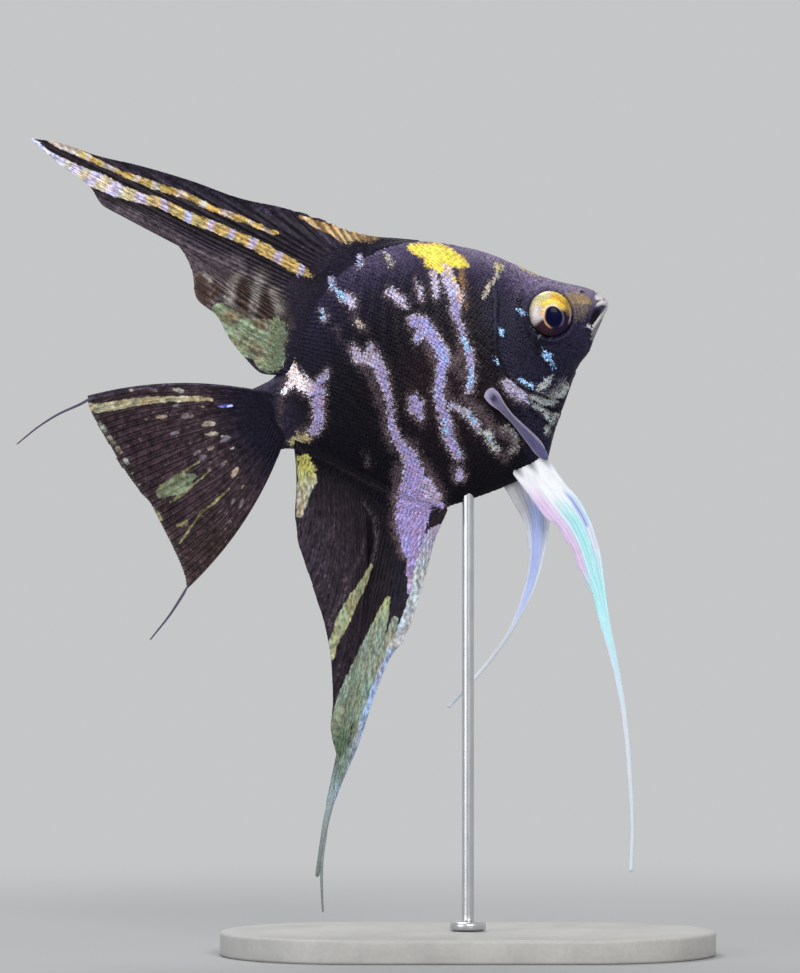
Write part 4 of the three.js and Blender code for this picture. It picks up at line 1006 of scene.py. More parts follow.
def pelvic_paint(side, facts):
    u, v, ray = facts["u"], facts["v"], facts["ray"]
    if side < 0:
        washes = [
            ((0.4, 0.76, 0.79), ease(u, 0.16, 0.34) * (1 - ease(u, 0.5, 0.75)) * ease(v, 0.06, 0.16)),
            ((0.44, 0.79, 0.83), ease(v, 0.2, 0.32) * (1 - ease(v, 0.36, 0.52)) * 0.9),
            ((0.66, 0.52, 0.74), ease(u, 0.58, 0.75) * ease(v, 0.03, 0.09) * (1 - ease(v, 0.25, 0.33))),
            ((0.56, 0.72, 0.8), (1 - ease(u, 0.08, 0.14)) * (1 - ease(v, 0.16, 0.18)) * ease(v, 0.05, 0.12)),
            ((0.2, 0.25, 0.66), hump(u - 0.17, 0.035) * ease(v, 0.06, 0.1) * (1 - ease(v, 0.165, 0.175)))]
    else:
        blue = ease(u, 0.1, 0.4) * (1 - ease(u, 0.6, 0.9)) * ease(v, 0.04, 0.16) * (1 - ease(v, 0.5, 0.7))
        washes = [
            ((0.44, 0.52, 0.84), blue),
            ((0.5, 0.5, 0.53), ease(u, 0.5, 0.8) * (1 - ease(v, 0.12, 0.26)))]
    c = laid(
        np.shape(u), (0.64, 0.68, 0.8), ((0.8, 0.82, 0.86), 1 - ease(v, 0.08, 0.16)), *washes,
        ((0.64, 0.68, 0.75), ease(v, 0.45, 0.7)))
    blade = 1 - ease(v, 0.3, 0.5)
    line = hump((ray % 1) - 0.02, 0.07) + hump((ray % 1) - 0.98, 0.07)
    root = 1.5 - v * 62 + 0.5 * np.sin(u * 17)
    root_tint = np.broadcast_to((0.03, 0.022, 0.035), c.shape)
    return layers(c * (1 - 0.3 * line * blade * ease(v, 0.05, 0.1))[..., None], (root, root_tint))


def pectoral_paint(facts):
    u, v = facts["u"], facts["v"]
    edge = 2 * np.abs(u - 0.5)
    ground = laid(
        np.shape(u), (0.15, 0.135, 0.22),
        ((0.125, 0.12, 0.25), ease(v, 0.4, 0.8)),
        ((0.3, 0.27, 0.34), ease(edge, 0.6, 0.95) * 0.8),
        ((0.36, 0.33, 0.5), hump(v - 0.05, 0.1)),
        # painted shade: darker inside the hollow of the root's cup, away from its rims
        ((0.05, 0.042, 0.09), hump(v - 0.11, 0.055) * (1 - ease(edge, 0.3, 0.7))),
        ((0.46, 0.42, 0.54), hump(v, 0.03)))
    return rayed(layers(ground), facts, 0.85, 1.2)


# ---------------------------------------------------------------- materials


class Nodes:
    """A material's node tree, written as expressions."""

    def __init__(self, name):
        self.material = bpy.data.materials.new(name)
        self.material.use_nodes = True
        self.tree = self.material.node_tree
        self.tree.nodes.clear()

    def node(self, kind, sockets=None, **settings):
        made = self.tree.nodes.new(kind)
        for key, value in settings.items():
            setattr(made, key, value)
        for key, value in (sockets or {}).items():
            self.put(made.inputs[key], value)
        return made

    def put(self, socket, value):
        if isinstance(value, bpy.types.NodeSocket):
            self.tree.links.new(value, socket)
        elif isinstance(value, (tuple, list)) and socket.type == "RGBA" and len(value) == 3:
            socket.default_value = (*value, 1)
        else:
            socket.default_value = value

    def attribute(self, name, out="Fac"):
        return self.node("ShaderNodeAttribute", attribute_name=name).outputs[out]

    def tone(self, name):
        return self.attribute(name, "Vector")

    def math(self, do, a, b=0.0):
        return self.node("ShaderNodeMath", {0: a, 1: b, 2: 0.0}, operation=do).outputs[0]

    def times(self, a, b):
        return self.math("MULTIPLY", a, b)

    def plus(self, a, b):
        return self.math("ADD", a, b)

    def minus(self, a, b):
        return self.math("SUBTRACT", a, b)

    def most(self, a, b):
        return self.math("MAXIMUM", a, b)

    def noise(self, at, scale, detail, rough=0.6, out="Fac"):
        sockets = {"Vector": at, "Scale": scale, "Detail": detail, "Roughness": rough}
        return self.node("ShaderNodeTexNoise", sockets).outputs[out]

    def drift(self, at, scale):
        """Three unlike numbers from 0 to 1 that wander from place to place."""
        split = self.node("ShaderNodeSeparateColor", {0: self.noise(at, scale, 1.0, 0.5, "Color")})
        return [self.span(value, 0.3, 0.7, smooth=False) for value in split.outputs]

    def from_to(self, share, low, high):
        return self.span(share, 0.0, 1.0, low, high, smooth=False)

    def span(self, value, low, high, to_low=0.0, to_high=1.0, smooth=True):
        kind = "SMOOTHSTEP" if smooth else "LINEAR"
        sockets = {"Value": value, "From Min": low, "From Max": high, "To Min": to_low, "To Max": to_high}
        return self.node("ShaderNodeMapRange", sockets, interpolation_type=kind).outputs["Result"]

    def blend(self, share, a, b, how="MIX"):
        made = self.node("ShaderNodeMix", data_type="RGBA", blend_type=how)
        for socket, value in ((0, share), (6, a), (7, b)):
            self.put(made.inputs[socket], value)
        return made.outputs[2]

    def blend_value(self, share, a, b):
        made = self.node("ShaderNodeMix", data_type="FLOAT")
        for socket, value in ((0, share), (2, a), (3, b)):
            self.put(made.inputs[socket], value)
        return made.outputs[0]

    def faded(self, colour, saturation, value):
        sockets = {"Color": colour, "Saturation": saturation, "Value": value}
        return self.node("ShaderNodeHueSaturation", sockets).outputs[0]

    def scale(self, colour, by):
        return self.node("ShaderNodeVectorMath", {0: colour, "Scale": by}, operation="SCALE").outputs[0]

    def stretch(self, vector, by):
        return self.node("ShaderNodeVectorMath", {0: vector, 1: by}, operation="MULTIPLY").outputs[0]

    def bump(self, height, strength, distance):
        sockets = {"Height": height, "Strength": strength, "Distance": distance}
        return self.node("ShaderNodeBump", sockets).outputs[0]

    def surface(self, **sockets):
        named = {key.replace("_", " "): value for key, value in sockets.items()}
        shader = self.node("ShaderNodeBsdfPrincipled", named)
        self.node("ShaderNodeOutputMaterial", {"Surface": shader.outputs[0]})
        return self.material


def fish_material(name, scaled):
    """Painted skin, or the coat of scales: a ground, then layers of cells that thin out at their rims."""
    n = Nodes(name)
    at, fin, calm = n.tone("grain"), n.attribute("fin"), n.attribute("calm")
    coarse, middling, fine = n.noise(at, 0.5, 2.0), n.noise(at, 1.4, 3.0), n.noise(at, 5.0, 2.0)
    lot, hue, spare = n.drift(at, 3.4)
    big = n.drift(at, 0.8)[0]
    ragged = n.plus(n.times(n.minus(coarse, 0.5), 2.2), n.times(n.minus(middling, 0.5), 3.0))
    ragged = n.times(ragged, n.blend_value(n.most(fin, calm), 1.0, 0.25))
    draw = n.plus(n.times(lot, 0.6), n.times(n.span(fine, 0.3, 0.7, smooth=False), 0.4))
    draw = n.blend_value(n.most(n.math("POWER", calm, 3.0), n.times(fin, 0.5)), draw, 0.5)

    def sown(depth, low, high, most=1.0, soft=0.16):
        """How far a layer's cells cover a place: a few of them from low, nearly all from high."""
        crowd = n.span(n.plus(depth, ragged), low, high, -soft, most, smooth=False)
        return n.span(n.minus(crowd, draw), -soft, soft)

    level = n.times(n.span(middling, 0.3, 0.72, 0.6, 1.45), n.from_to(lot, 0.55, 1.45))
    level = n.times(level, n.span(hue, 0.8, 1.0, 1.0, 2.2, smooth=False))
    level = n.blend_value(calm, level, n.span(middling, 0.3, 0.7, 0.94, 1.05))
    ground = n.scale(n.tone("ground"), level)
    wash = sown(n.attribute("wash"), -2.1, 1.9, 0.9, 0.3)
    wash_tint = n.scale(n.tone("wash_tint"), n.from_to(hue, 0.3, 1.6))
    colour = n.blend(wash, ground, wash_tint)
    depth = n.attribute("mark")
    mark = sown(depth, n.blend_value(fin, -0.98, -0.75), n.blend_value(fin, 0.85, 0.45), 1.12)
    tint = n.tone("mark_tint")
    level = n.times(n.from_to(hue, 0.5, 1.5), n.from_to(big, 0.88, 1.12))
    level = n.times(level, n.span(middling, 0.3, 0.7, 0.78, 1.2))
    level = n.blend_value(calm, level, n.span(middling, 0.3, 0.7, 0.88, 1.1))
    drifting = n.minus(1.0, calm)
    warm_to_cool = n.blend(big, (1.12, 0.96, 0.88), (0.86, 1.02, 1.16))
    tint = n.blend(drifting, n.scale(tint, level), warm_to_cool, "MULTIPLY")
    chalk = n.faded(tint, 0.5, 1.3)
    pick = n.times(n.span(spare, 0.66, 0.9), n.span(depth, 0.9, -0.1, 0.1, 0.8))
    tint = n.blend(n.times(pick, drifting), tint, chalk)
    colour = n.blend(mark, colour, tint)
    # the spark layer: the blue sparks, and the painted shade of the mouth, nostril, cheek groove, gill
    # opening and throat folds
    spark = sown(n.attribute("spark"), -0.71, 0.55, 1.1)
    glint = n.scale(n.tone("spark_tint"), n.from_to(hue, 0.4, 1.6))
    pale = n.faded(glint, 0.45, 1.5)
    glint = n.blend(n.span(spare, 0.55, 0.8), glint, pale)
    colour = n.blend(spark, colour, glint)
    shine = n.most(n.times(mark, 0.15), n.times(spark, 0.2))
    rough = n.span(n.plus(middling, n.times(lot, 0.15)), 0.35, 0.8, 0.34, 0.52)
    height = n.plus(n.times(middling, 0.5), n.times(fine, 0.2))
    if scaled:
        parts = n.node("ShaderNodeSeparateXYZ", {0: n.tone("lobe")})
        s, t, flake = parts.outputs
        colour = n.scale(colour, n.from_to(flake, 0.84, 1.16))
        # painted shade at each scale's root, where the scale in front overlaps it, and painted light towards
        # its raised free edge
        colour = n.scale(colour, n.span(s, 0.3, 0.95, 0.72, 1.18))
        arch = n.plus(n.math("POWER", n.math("ABSOLUTE", t), 2.0), s)
        height = n.plus(height, n.times(n.math("SINE", n.times(arch, 36.0)), 0.12))
        rough = n.plus(rough, n.from_to(flake, -0.06, 0.06))
    else:
        bars = n.math("SINE", n.times(n.attribute("run"), 8.5))
        bars = n.times(n.times(bars, n.attribute("ridge")), fin)
        height = n.plus(height, n.times(bars, 0.25))
    height = n.times(height, n.blend_value(calm, 1.0, 0.3))
    normal = n.bump(height, 0.3, 0.00012)
    return n.surface(Base_Color=colour, Roughness=rough, Metallic=shine, Normal=normal, IOR=1.45,
                     Specular_IOR_Level=0.09, Coat_Weight=0.03, Coat_Roughness=0.15)


def eye_material():
    n = Nodes("eye")
    at = n.tone("grain")
    fibre, speck = n.noise(at, 5.0, 4.0), n.noise(at, 14.0, 2.0)
    colour = n.scale(n.tone("ground"), n.span(fibre, 0.3, 0.7, 0.66, 1.3))
    colour = n.scale(colour, n.span(speck, 0.35, 0.65, 0.82, 1.15))
    pupil = n.attribute("mark")
    colour = n.blend(n.span(pupil, -0.05, 0.05), colour, (0.001, 0.0015, 0.022))
    normal = n.bump(n.times(fibre, n.span(pupil, -0.3, -0.1, 1.0, 0.0)), 0.25, 0.0001)
    metal = n.span(pupil, -0.3, -0.1, 0.2, 0.0)
    return n.surface(Base_Color=colour, Roughness=n.span(fibre, 0.3, 0.7, 0.26, 0.4), Metallic=metal,
                     Normal=normal, IOR=1.4, Specular_IOR_Level=0.06, Coat_Weight=0.09, Coat_Roughness=0.04)


def base_material():
    n = Nodes("stand_base")
    at = n.node("ShaderNodeTexCoord").outputs["Object"]
    grain, fine = n.noise(at, 60.0, 4.0), n.noise(at, 900.0, 3.0)
    colour = n.blend(n.span(grain, 0.3, 0.7), (0.4, 0.39, 0.375), (0.47, 0.46, 0.44))
    colour = n.scale(colour, n.span(fine, 0.3, 0.7, 0.96, 1.04))
    return n.surface(Base_Color=colour, Roughness=n.span(grain, 0.3, 0.7, 0.42, 0.52),
                     Normal=n.bump(fine, 0.12, 0.00006), IOR=1.5)


def steel_material():
    n = Nodes("steel")
    at = n.node("ShaderNodeTexCoord").outputs["Object"]
    drawn = n.noise(n.stretch(at, (1.0, 1.0, 0.02)), 9000.0, 2.0)
    cloud = n.noise(at, 150.0, 3.0)
    colour = n.blend(n.span(cloud, 0.3, 0.7), (0.56, 0.57, 0.59), (0.64, 0.65, 0.67))
    return n.surface(Base_Color=colour, Metallic=1.0, Roughness=n.span(drawn, 0.3, 0.7, 0.24, 0.36),
                     Normal=n.bump(drawn, 0.06, 0.00003))


# ---------------------------------------------------------------- the skin

TURNS = 248  # points round the body
# rings along the body, closer together over the head and again over the mouth
stations = np.r_[np.arange(TAIL_END, 58, 0.5), np.arange(58, 84, 0.25), np.arange(84, 90.6, 0.1)]
round_body = (np.arange(TURNS) + 0.5) / TURNS * 2 * np.pi
MAP = 1 / 400  # the unwrap's scale: share of the map to a millimetre
MAP_GAP = 0.01


def body_grid():
    """The body's bare skin, with its relief, as rings from the tail end to the mouth, and its way out."""
    plain = ring_grid(stations[:, None], round_body[None, :])
    out = grid_normals(plain, wrap=True)
    out *= np.sign((out[..., 1] * plain[..., 1]).mean())
    skin = plain + out * (relief(plain[..., 0], plain[..., 2]) - SKIN_IN)[..., None]
    rings, last = [skin], skin[-1]
    centre = last.mean(0)
    for k in np.linspace(0, np.pi / 2, 9)[1:]:
        ring = centre + (last - centre) * math.cos(k)
        ring[:, 0] = last[:, 0] + 0.42 * math.sin(k)
        rings.append(ring[None])
    return np.concatenate(rings), out


def flat(values):
    """Attribute grids as plain lists of numbers or of triples."""
    arrays = {key: np.asarray(value, float) for key, value in values.items()}
    return {key: value.reshape(-1, *value.shape[2:]) if value.ndim > 1 else value
            for key, value in arrays.items()}


def unwrapped(x, z):
    """Where a sheet lies on the unwrap, from its own corner."""
    return joined(x - x.min(), z - z.min()) * MAP


skin_grid, skin_out = body_grid()
skin_piece = Piece()


def add_body():
    values = body_paint(skin_grid) | dict(fin=0.0, ridge=0.0, run=0.0)
    girth = np.linalg.norm(np.roll(skin_grid, -1, 1) - skin_grid, axis=-1)
    uv = joined(skin_grid[..., 0] + 2, np.cumsum(girth, 1) - girth) * MAP + MAP_GAP
    skin_piece.add(skin_grid, grid_faces(len(skin_grid), TURNS, wrap=True), flat(values), uv)


def add_fin(faces, paint, *corners, calm=0.0):
    """Joins a fin to the skin. The corners are where its two faces lie on the unwrap."""
    left, right, facts = faces
    points, quads = two_faced(left, right)
    x, z = points[..., 0], points[..., 2]
    facts = {key: doubled(value) for key, value in facts.items()}
    grain = joined(facts["ray"] * 0.8, facts["run"] * 0.24, 3.0)
    values = paint(x, z, facts)
    values |= dict(grain=grain, fin=1.0, ridge=facts["ridge"], run=facts["run"], calm=calm)
    uv, half = unwrapped(x, z), points.shape[1] // 2
    uv[:, :half] += corners[0]
    uv[:, half:] += corners[1]
    skin_piece.add(points, quads, flat(values), uv)


THREAD_TONES = {  # a fin's threads at their start and at their tip
    "caudal": ((0.085, 0.078, 0.12), (0.085, 0.078, 0.12)),
    "anal": ((0.3, 0.36, 0.38), (0.17, 0.185, 0.16))}


def add_thread(fin, at, first, last, route, corner):
    """Joins to the skin the thread that a fin draws out into, at a share along the fin."""
    t = np.linspace(0, 1, 60)
    radii = mix(first, last, t) * mix(0.35, 1, ease(t, 0, 0.22)) * rounded(1 - t, 1 / 60)
    sway = float(FINS[fin]["sway"](at, 1.0))
    points = tube(resample([(x, sway, z) for x, z in route], len(t)), radii)
    start, tip = THREAD_TONES[fin]
    ground = laid(points.shape[:2], start, (tip, t[:, None]))
    values = layers(ground) | dict(grain=points, fin=1.0, ridge=0.5, run=points[..., 0], calm=0.8)
    quads = grid_faces(*points.shape[:2], wrap=True)
    skin_piece.add(points, quads, flat(values), unwrapped(points[..., 0], points[..., 2]) + corner)


add_body()
sheets = {name: fan_sheet(spec) for name, spec in FINS.items()}
paints = {"dorsal": dorsal_paint, "anal": anal_paint, "caudal": caudal_paint}
add_fin(sheets["anal"], anal_paint, (0.25, 0.01), (0.42, 0.01))
add_fin(sheets["dorsal"], dorsal_paint, (0.25, 0.31), (0.47, 0.31))
add_fin(sheets["caudal"], caudal_paint, (0.71, 0.31), (0.85, 0.31))
for word, corners in (("right", ((0.6, 0.01), (0.66, 0.01))), ("left", ((0.72, 0.01), (0.85, 0.01)))):
    pelvic = PELVIC[word]
    add_fin(pelvic_sheet(pelvic), lambda x, z, facts: pelvic_paint(pelvic["side"], facts), *corners, calm=1.0)
for side, corners in ((-1, ((0.25, 0.55), (0.32, 0.55))), (1, ((0.39, 0.55), (0.46, 0.55)))):
    add_fin(pectoral_sheet(side), lambda x, z, facts: pectoral_paint(facts), *corners, calm=0.8)
for thread, corner in zip(THREADS, ((0.55, 0.55), (0.65, 0.55), (0.75, 0.6), (0.8, 0.6))):
    add_thread(*thread, corner)

FLESH = [
    "head", "gill_cover_right", "gill_cover_left", "upper_jaw", "lower_jaw", "trunk", "tail_stalk",
    "dorsal_fin", "anal_fin", "caudal_fin", "pectoral_fin_right", "pectoral_fin_left", "pelvic_fin_right",
    "pelvic_fin_left", "pelvic_feeler_right", "pelvic_feeler_left"]
skin = skin_piece.build("skin", fish_material("skin", scaled=False), "skin")
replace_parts(skin, *FLESH)

# ---------------------------------------------------------------- the coat of scales

ARC_LOW, ARC_HIGH, ARC_STEP = -90, 70, 0.25  # arcs from the lateral line, in mm


def side_table(side):
    """The skin of one side by station and by arc from the lateral line up: places, ways out, arc limits."""
    half = slice(0, TURNS // 2) if side > 0 else slice(TURNS - 1, TURNS // 2 - 1, -1)
    rings, outs = skin_grid[: len(stations), half], skin_out[:, half]
    level = np.interp(stations, *np.array(sorted(LATERAL)).T)
    arcs = np.arange(ARC_LOW, ARC_HIGH, ARC_STEP)
    places, ways, limits = [], [], []
    for ring, out, z0 in zip(rings, outs, level):
        arc = np.r_[0, np.cumsum(np.linalg.norm(np.diff(ring, axis=0), axis=1))]
        arc -= np.interp(z0, ring[:, 2], arc)
        places.append([np.interp(arcs, arc, ring[:, k]) for k in range(3)])
        ways.append([np.interp(arcs, arc, out[:, k]) for k in range(3)])
        limits.append((arc[0], arc[-1]))
    return np.moveaxis(places, 1, 2), np.moveaxis(ways, 1, 2), np.array(limits).T


def grid_at(grid, i, j):
    """A grid's values at broken row and column numbers."""
    i, j = np.clip(i, 0, grid.shape[0] - 1.001), np.clip(j, 0, grid.shape[1] - 1.001)
    i0, j0 = i.astype(int), j.astype(int)
    di, dj = i - i0, j - j0
    if grid.ndim == 3:
        di, dj = di[..., None], dj[..., None]
    low = grid[i0, j0] * (1 - dj) + grid[i0, j0 + 1] * dj
    high = grid[i0 + 1, j0] * (1 - dj) + grid[i0 + 1, j0 + 1] * dj
    return low * (1 - di) + high * di


def look_up(table, x, a):
    """A table's values at places x and arcs a."""
    return grid_at(table, np.interp(x, stations, np.arange(len(stations))), (a - ARC_LOW) / ARC_STEP)


# a scale's own grid: s runs from its root to its free edge, t across it from -1 to 1
LOBE_ROWS, LOBE_COLUMNS = 6, 5
lobe_s = np.array([0, 0.4, 0.63, 0.8, 0.92, 1])[:, None] + np.zeros((1, LOBE_COLUMNS))
lobe_t = np.linspace(-1, 1, LOBE_COLUMNS)[None, :] + np.zeros((LOBE_ROWS, 1))
lobe_wide = mix(0.8, 1.0, ease(lobe_s, 0, 0.4)) * np.sqrt(1 - np.clip((lobe_s - 0.55) / 0.46, 0, 1) ** 2)
lobe_bow = 0.05 * lobe_t**2 * ease(lobe_s, 0.8, 1)
lobe_rise = mix(-0.1, 0.15, lobe_s) + 0.05 * (1 - lobe_t**2) * ease(lobe_s, 0.1, 0.5)
lobe_ids = np.arange(LOBE_ROWS * LOBE_COLUMNS).reshape(LOBE_ROWS, LOBE_COLUMNS)
lobe_top = grid_faces(LOBE_ROWS, LOBE_COLUMNS)
lobe_under = np.stack([lobe_ids[:-1, 0], lobe_ids[:-1, -1], lobe_ids[1:, -1], lobe_ids[1:, 0]], -1)


def each(values):
    """One value for each scale, to go with every place on it."""
    return values[:, None, None]


def scale_points(roots, along, across, lift, surface, rng):
    """Scales on a surface as grids of points. Each has a root and two steps on the surface: the scale's
    whole length and half its width. `surface` gives places and ways out, from two coordinates."""
    one_each = (len(roots), 1, 1)
    size = rng.uniform(0.93, 1.07, one_each)
    lean = rng.normal(0, 0.05, one_each)
    s, t = (lobe_s - lobe_bow) * size, (lobe_t * lobe_wide) * size
    s_leaning, t_leaning = s - 0.2 - lean * t, t + 2 * lean * s
    p, q = (each(roots[:, k]) + s_leaning * each(along[:, k]) + t_leaning * each(across[:, k])
            for k in (0, 1))
    place, way = surface(p, q)
    flake = rng.uniform(0, 1, one_each)
    roll = rng.normal(0, 0.025, one_each)
    height = lobe_rise + roll * t + 0.02 * rng.normal(0, 1, one_each) * s
    points = place + way * (height * each(lift))[..., None]
    seen = mix(place, each(surface(roots[:, 0], roots[:, 1])[0]), 0.3)
    return points, place, seen, joined(s, t, flake)


def scale_faces(count, side):
    """Faces of many scales: their tops, then their flat undersides."""
    shift = each(np.arange(count) * LOBE_ROWS * LOBE_COLUMNS)
    top, under = ((faces + shift).reshape(-1, 4) for faces in (lobe_top, lobe_under))
    return (top, under) if side < 0 else (top[:, ::-1], under[:, ::-1])


def build_scales(name, piece, undersides):
    """Builds a coat piece whose scales have sharp undersides."""
    obj = piece.build(name, scale_material, "skin")
    sharp = obj.data.attributes.new("sharp_face", "BOOLEAN", "FACE")
    sharp.data.foreach_set("value", undersides)
    return obj


def add_scales(piece, side, points, place, paint, lobe, unwrap):
    """Adds scales to a piece, painted, and says which of its faces are undersides."""
    x, y, z = np.moveaxis(place, -1, 0)
    values = dict(calm=0.0) | paint | dict(grain=joined(x, z, y), lobe=lobe)
    values = {key: np.reshape(value, (-1, *np.shape(value)[3:])) if np.ndim(value) else value
              for key, value in values.items()}
    top, under = scale_faces(len(points), side)
    piece.add(points, np.concatenate([top, under]), values | dict(fin=0.0), unwrap)
    return np.r_[np.zeros(len(top), bool), np.ones(len(under), bool)]


PATCH = 0.003  # how far a scale's patch on the unwrap reaches across
# What the whole unwrap would span for the patches: mm along and round the body, and the steps of a fin's
# grid along it and outwards.
BODY_SPAN, FIN_SPAN = (100, 150), (1200, 300)


def patch_map(at_u, at_v, lobe):
    """Where scales lie on the unwrap: each a patch at its root's place."""
    return joined(each(at_u) - (lobe[..., 0] - 0.5) * PATCH, each(at_v) + PATCH / 2 * lobe[..., 1])


def body_scales(name, side, tables, where):
    """One side's scales over the part of the body that `where` picks."""
    places, ways, (low, high) = tables
    roots, length, width, lift = body_roots(tables, where)

    def surface(x, a):
        a = np.clip(a, np.interp(x, stations, low) + 0.02, np.interp(x, stations, high) - 0.02)
        way = look_up(ways, x, a)
        return look_up(places, x, a), way / np.linalg.norm(way, axis=-1, keepdims=True)

    rng = np.random.default_rng(SEED + len(name))
    along, across = joined(-length, 0.0), joined(0.0, width / 2)
    points, place, seen, lobe = scale_points(roots, along, across, lift, surface, rng)
    unwrap = patch_map((roots[:, 0] + 2) / BODY_SPAN[0], 0.5 + roots[:, 1] / BODY_SPAN[1], lobe)
    piece = Piece()
    build_scales(name, piece, add_scales(piece, side, points, place, body_paint(seen), lobe, unwrap))


SCALE_PITCH, SCALE_ROW, SCALE_LENGTH, SCALE_WIDTH = 1.1, 0.72, 1.9, 1.72  # where a scale's size is 1
SCALE_ROWS = 130  # more rows than any side has above or below its lateral line
COAT_START, COAT_END = 2.0, 86  # stations where the body's coat starts and ends


def scale_size(x):
    """How large the scales are along the body."""
    return mix(0.68, 1.0, ease(x, 4, 34)) * mix(1.0, 0.78, ease(x, 54, 68))


def lattice(begin, end):
    """Staggered places (x, row number) from begin to end."""
    xs, x = [], begin
    while x < end:
        xs.append(x)
        x += SCALE_PITCH * scale_size(x) / 2
    places = [(x, row) for k, x in enumerate(xs) for row in range(-SCALE_ROWS + k % 2, SCALE_ROWS, 2)]
    return np.array(places, float).T


def body_roots(tables, where):
    """Roots for a side's scales, with their lengths, widths and lifts."""
    places, _, (low, high) = tables
    x, row = lattice(COAT_START, COAT_END)
    a = row * SCALE_ROW * scale_size(x)
    inside = (a > np.interp(x, stations, low) + 0.3) & (a < np.interp(x, stations, high) - 0.3)
    x, a = x[inside], a[inside]
    spot = look_up(places, x, a)
    keep = where(spot[:, 0], spot[:, 2])
    x, a, size = x[keep], a[keep], scale_size(x[keep])
    lift = 0.75 + 0.25 * ease(x, 10, 30) * (1 - ease(x, 60, 66))
    return joined(x, a), SCALE_LENGTH * size, SCALE_WIDTH * size, lift


MID_TRUNK = 36  # where one coat of trunk scales ends and the next begins


def on_trunk(x, z):
    gap, ahead = line_gap(x, z, GILL_EDGE)
    clear = np.hypot(x - PECTORAL_ROOT[0], z - PECTORAL_ROOT[1]) > 2.2
    return ((ahead < 0) & (gap > 0.9) | (x < 60)) & clear & (x > 2.5)


def on_shoulder(x, z):
    return on_trunk(x, z) & (x >= MID_TRUNK)


def on_flank(x, z):
    return on_trunk(x, z) & (x < MID_TRUNK)


def on_head(x, z):
    gap, ahead = line_gap(x, z, GILL_EDGE)
    eye = np.hypot(x - EYE[0], (z - EYE[1]) / EYE_TALL)
    crown = back(x) - z
    cheek = (x < 79) & (z > -14 - 0.5 * (x - 70)) & (eye > 7.6)
    bare_brow = (x > 72) & (z > 5)
    return (ahead >= 0) & (gap > 0.35) & (x > 59) & cheek & ~bare_brow & (crown > 0.6)


# The small scales over each median fin's base: how far they reach out in mm by share along the fin,
# where they lie on the unwrap, and which way round a scale's own grid goes there.
FIN_BASES = {
    "dorsal": (smooth_through([(0, 1.5), (0.1, 3), (0.5, 6), (0.9, 5), (1, 3)]), (0.02, 0.02), -1),
    "anal": (smooth_through([(0, 4), (0.05, 14), (0.25, 17), (0.4, 9), (0.6, 5), (1, 3)]), (0.02, 0.45), 1),
    "caudal": (smooth_through([(0, 4), (0.5, 6.5), (1, 4)]), (0.65, 0.45), -1)}
FIN_PITCH, FIN_ROW, FIN_SCALE = 0.95, 0.36, 1.25  # their steps along and out, and their length


def fin_roots(face, out, reach):
    """Staggered roots over a fin's base, as broken row and column numbers of its face's grid."""
    rays = np.arange(float(len(face)))
    roots = []
    for k, far in enumerate(np.arange(-2.4, reach.max(), FIN_ROW)):
        column = np.array([np.interp(far, line, np.arange(len(line))) for line in out])
        line = grid_at(face, rays, column)
        arc = np.r_[0, np.cumsum(np.linalg.norm(np.diff(line, axis=0), axis=1))]
        i = np.interp(np.arange((0.2 + 0.5 * (k % 2)) * FIN_PITCH, arc[-1], FIN_PITCH), arc, rays)
        keep = far < np.interp(i, rays, reach)
        roots.append(joined(i, np.interp(i, rays, column))[keep])
    return np.concatenate(roots)


def fin_scales(name, side):
    """Small scales over the bases of the dorsal, anal and tail fins, on one side."""
    piece, undersides = Piece(), []
    rng = np.random.default_rng(SEED + side)
    for fin, (reach, corner, hand) in FIN_BASES.items():
        left, right, facts = sheets[fin]
        face = left if side > 0 else right
        out = grid_normals(face)
        out *= side * np.sign(out[..., 1:])[..., -1:]
        roots = fin_roots(face, facts["out"], reach(facts["u"][:, 0]))
        step_i, step_j = (np.linalg.norm(np.gradient(face, axis=k), axis=-1) for k in (0, 1))
        shrink = mix(1, 0.8, ease(grid_at(facts["out"], *roots.T), 2, 12))
        along = joined(0.0, FIN_SCALE * shrink / grid_at(step_j, *roots.T))
        across = joined(FIN_PITCH * 0.6 * shrink / grid_at(step_i, *roots.T), 0.0)
        surface = lambda i, j: (grid_at(face, i, j), grid_at(out, i, j))
        points, place, seen, lobe = scale_points(roots, along, across, 0.45 * shrink, surface, rng)
        x, _, z = np.moveaxis(seen, -1, 0)
        here = {key: np.broadcast_to(each(grid_at(value, *roots.T)), x.shape) for key, value in facts.items()}
        paint = paints[fin](x, z, here | dict(ridge=np.full(x.shape, 0.35)))
        at_u, at_v = (corner[k] + roots[:, k] / FIN_SPAN[k] for k in (0, 1))
        unwrap = patch_map(at_u, at_v, lobe)
        undersides.append(add_scales(piece, side * hand, points, place, paint, lobe, unwrap))
    build_scales(name, piece, np.concatenate(undersides))


scale_material = fish_material("scales", scaled=True)
for side, word in SIDES:
    tables = side_table(side)
    body_scales(f"shoulder_scales_{word}", side, tables, on_shoulder)
    body_scales(f"flank_scales_{word}", side, tables, on_flank)
    body_scales(f"head_scales_{word}", side, tables, on_head)
    fin_scales(f"fin_scales_{word}", side)

# ---------------------------------------------------------------- the eyes

EYE_OUT, EYE_RADIUS, EYE_DEPTH = 4.5, 5.48, 3.1  # how far out its middle is, and half its breadth and depth
PUPIL = np.array([0.5, -0.75, 2.02, 2.34])  # its middle, from the eye's, then half its length and height
RIM, HIGHLIGHT_ARC = 5.05, 4.95  # radii of the swell round the iris and of the painted highlight arc at its front edge
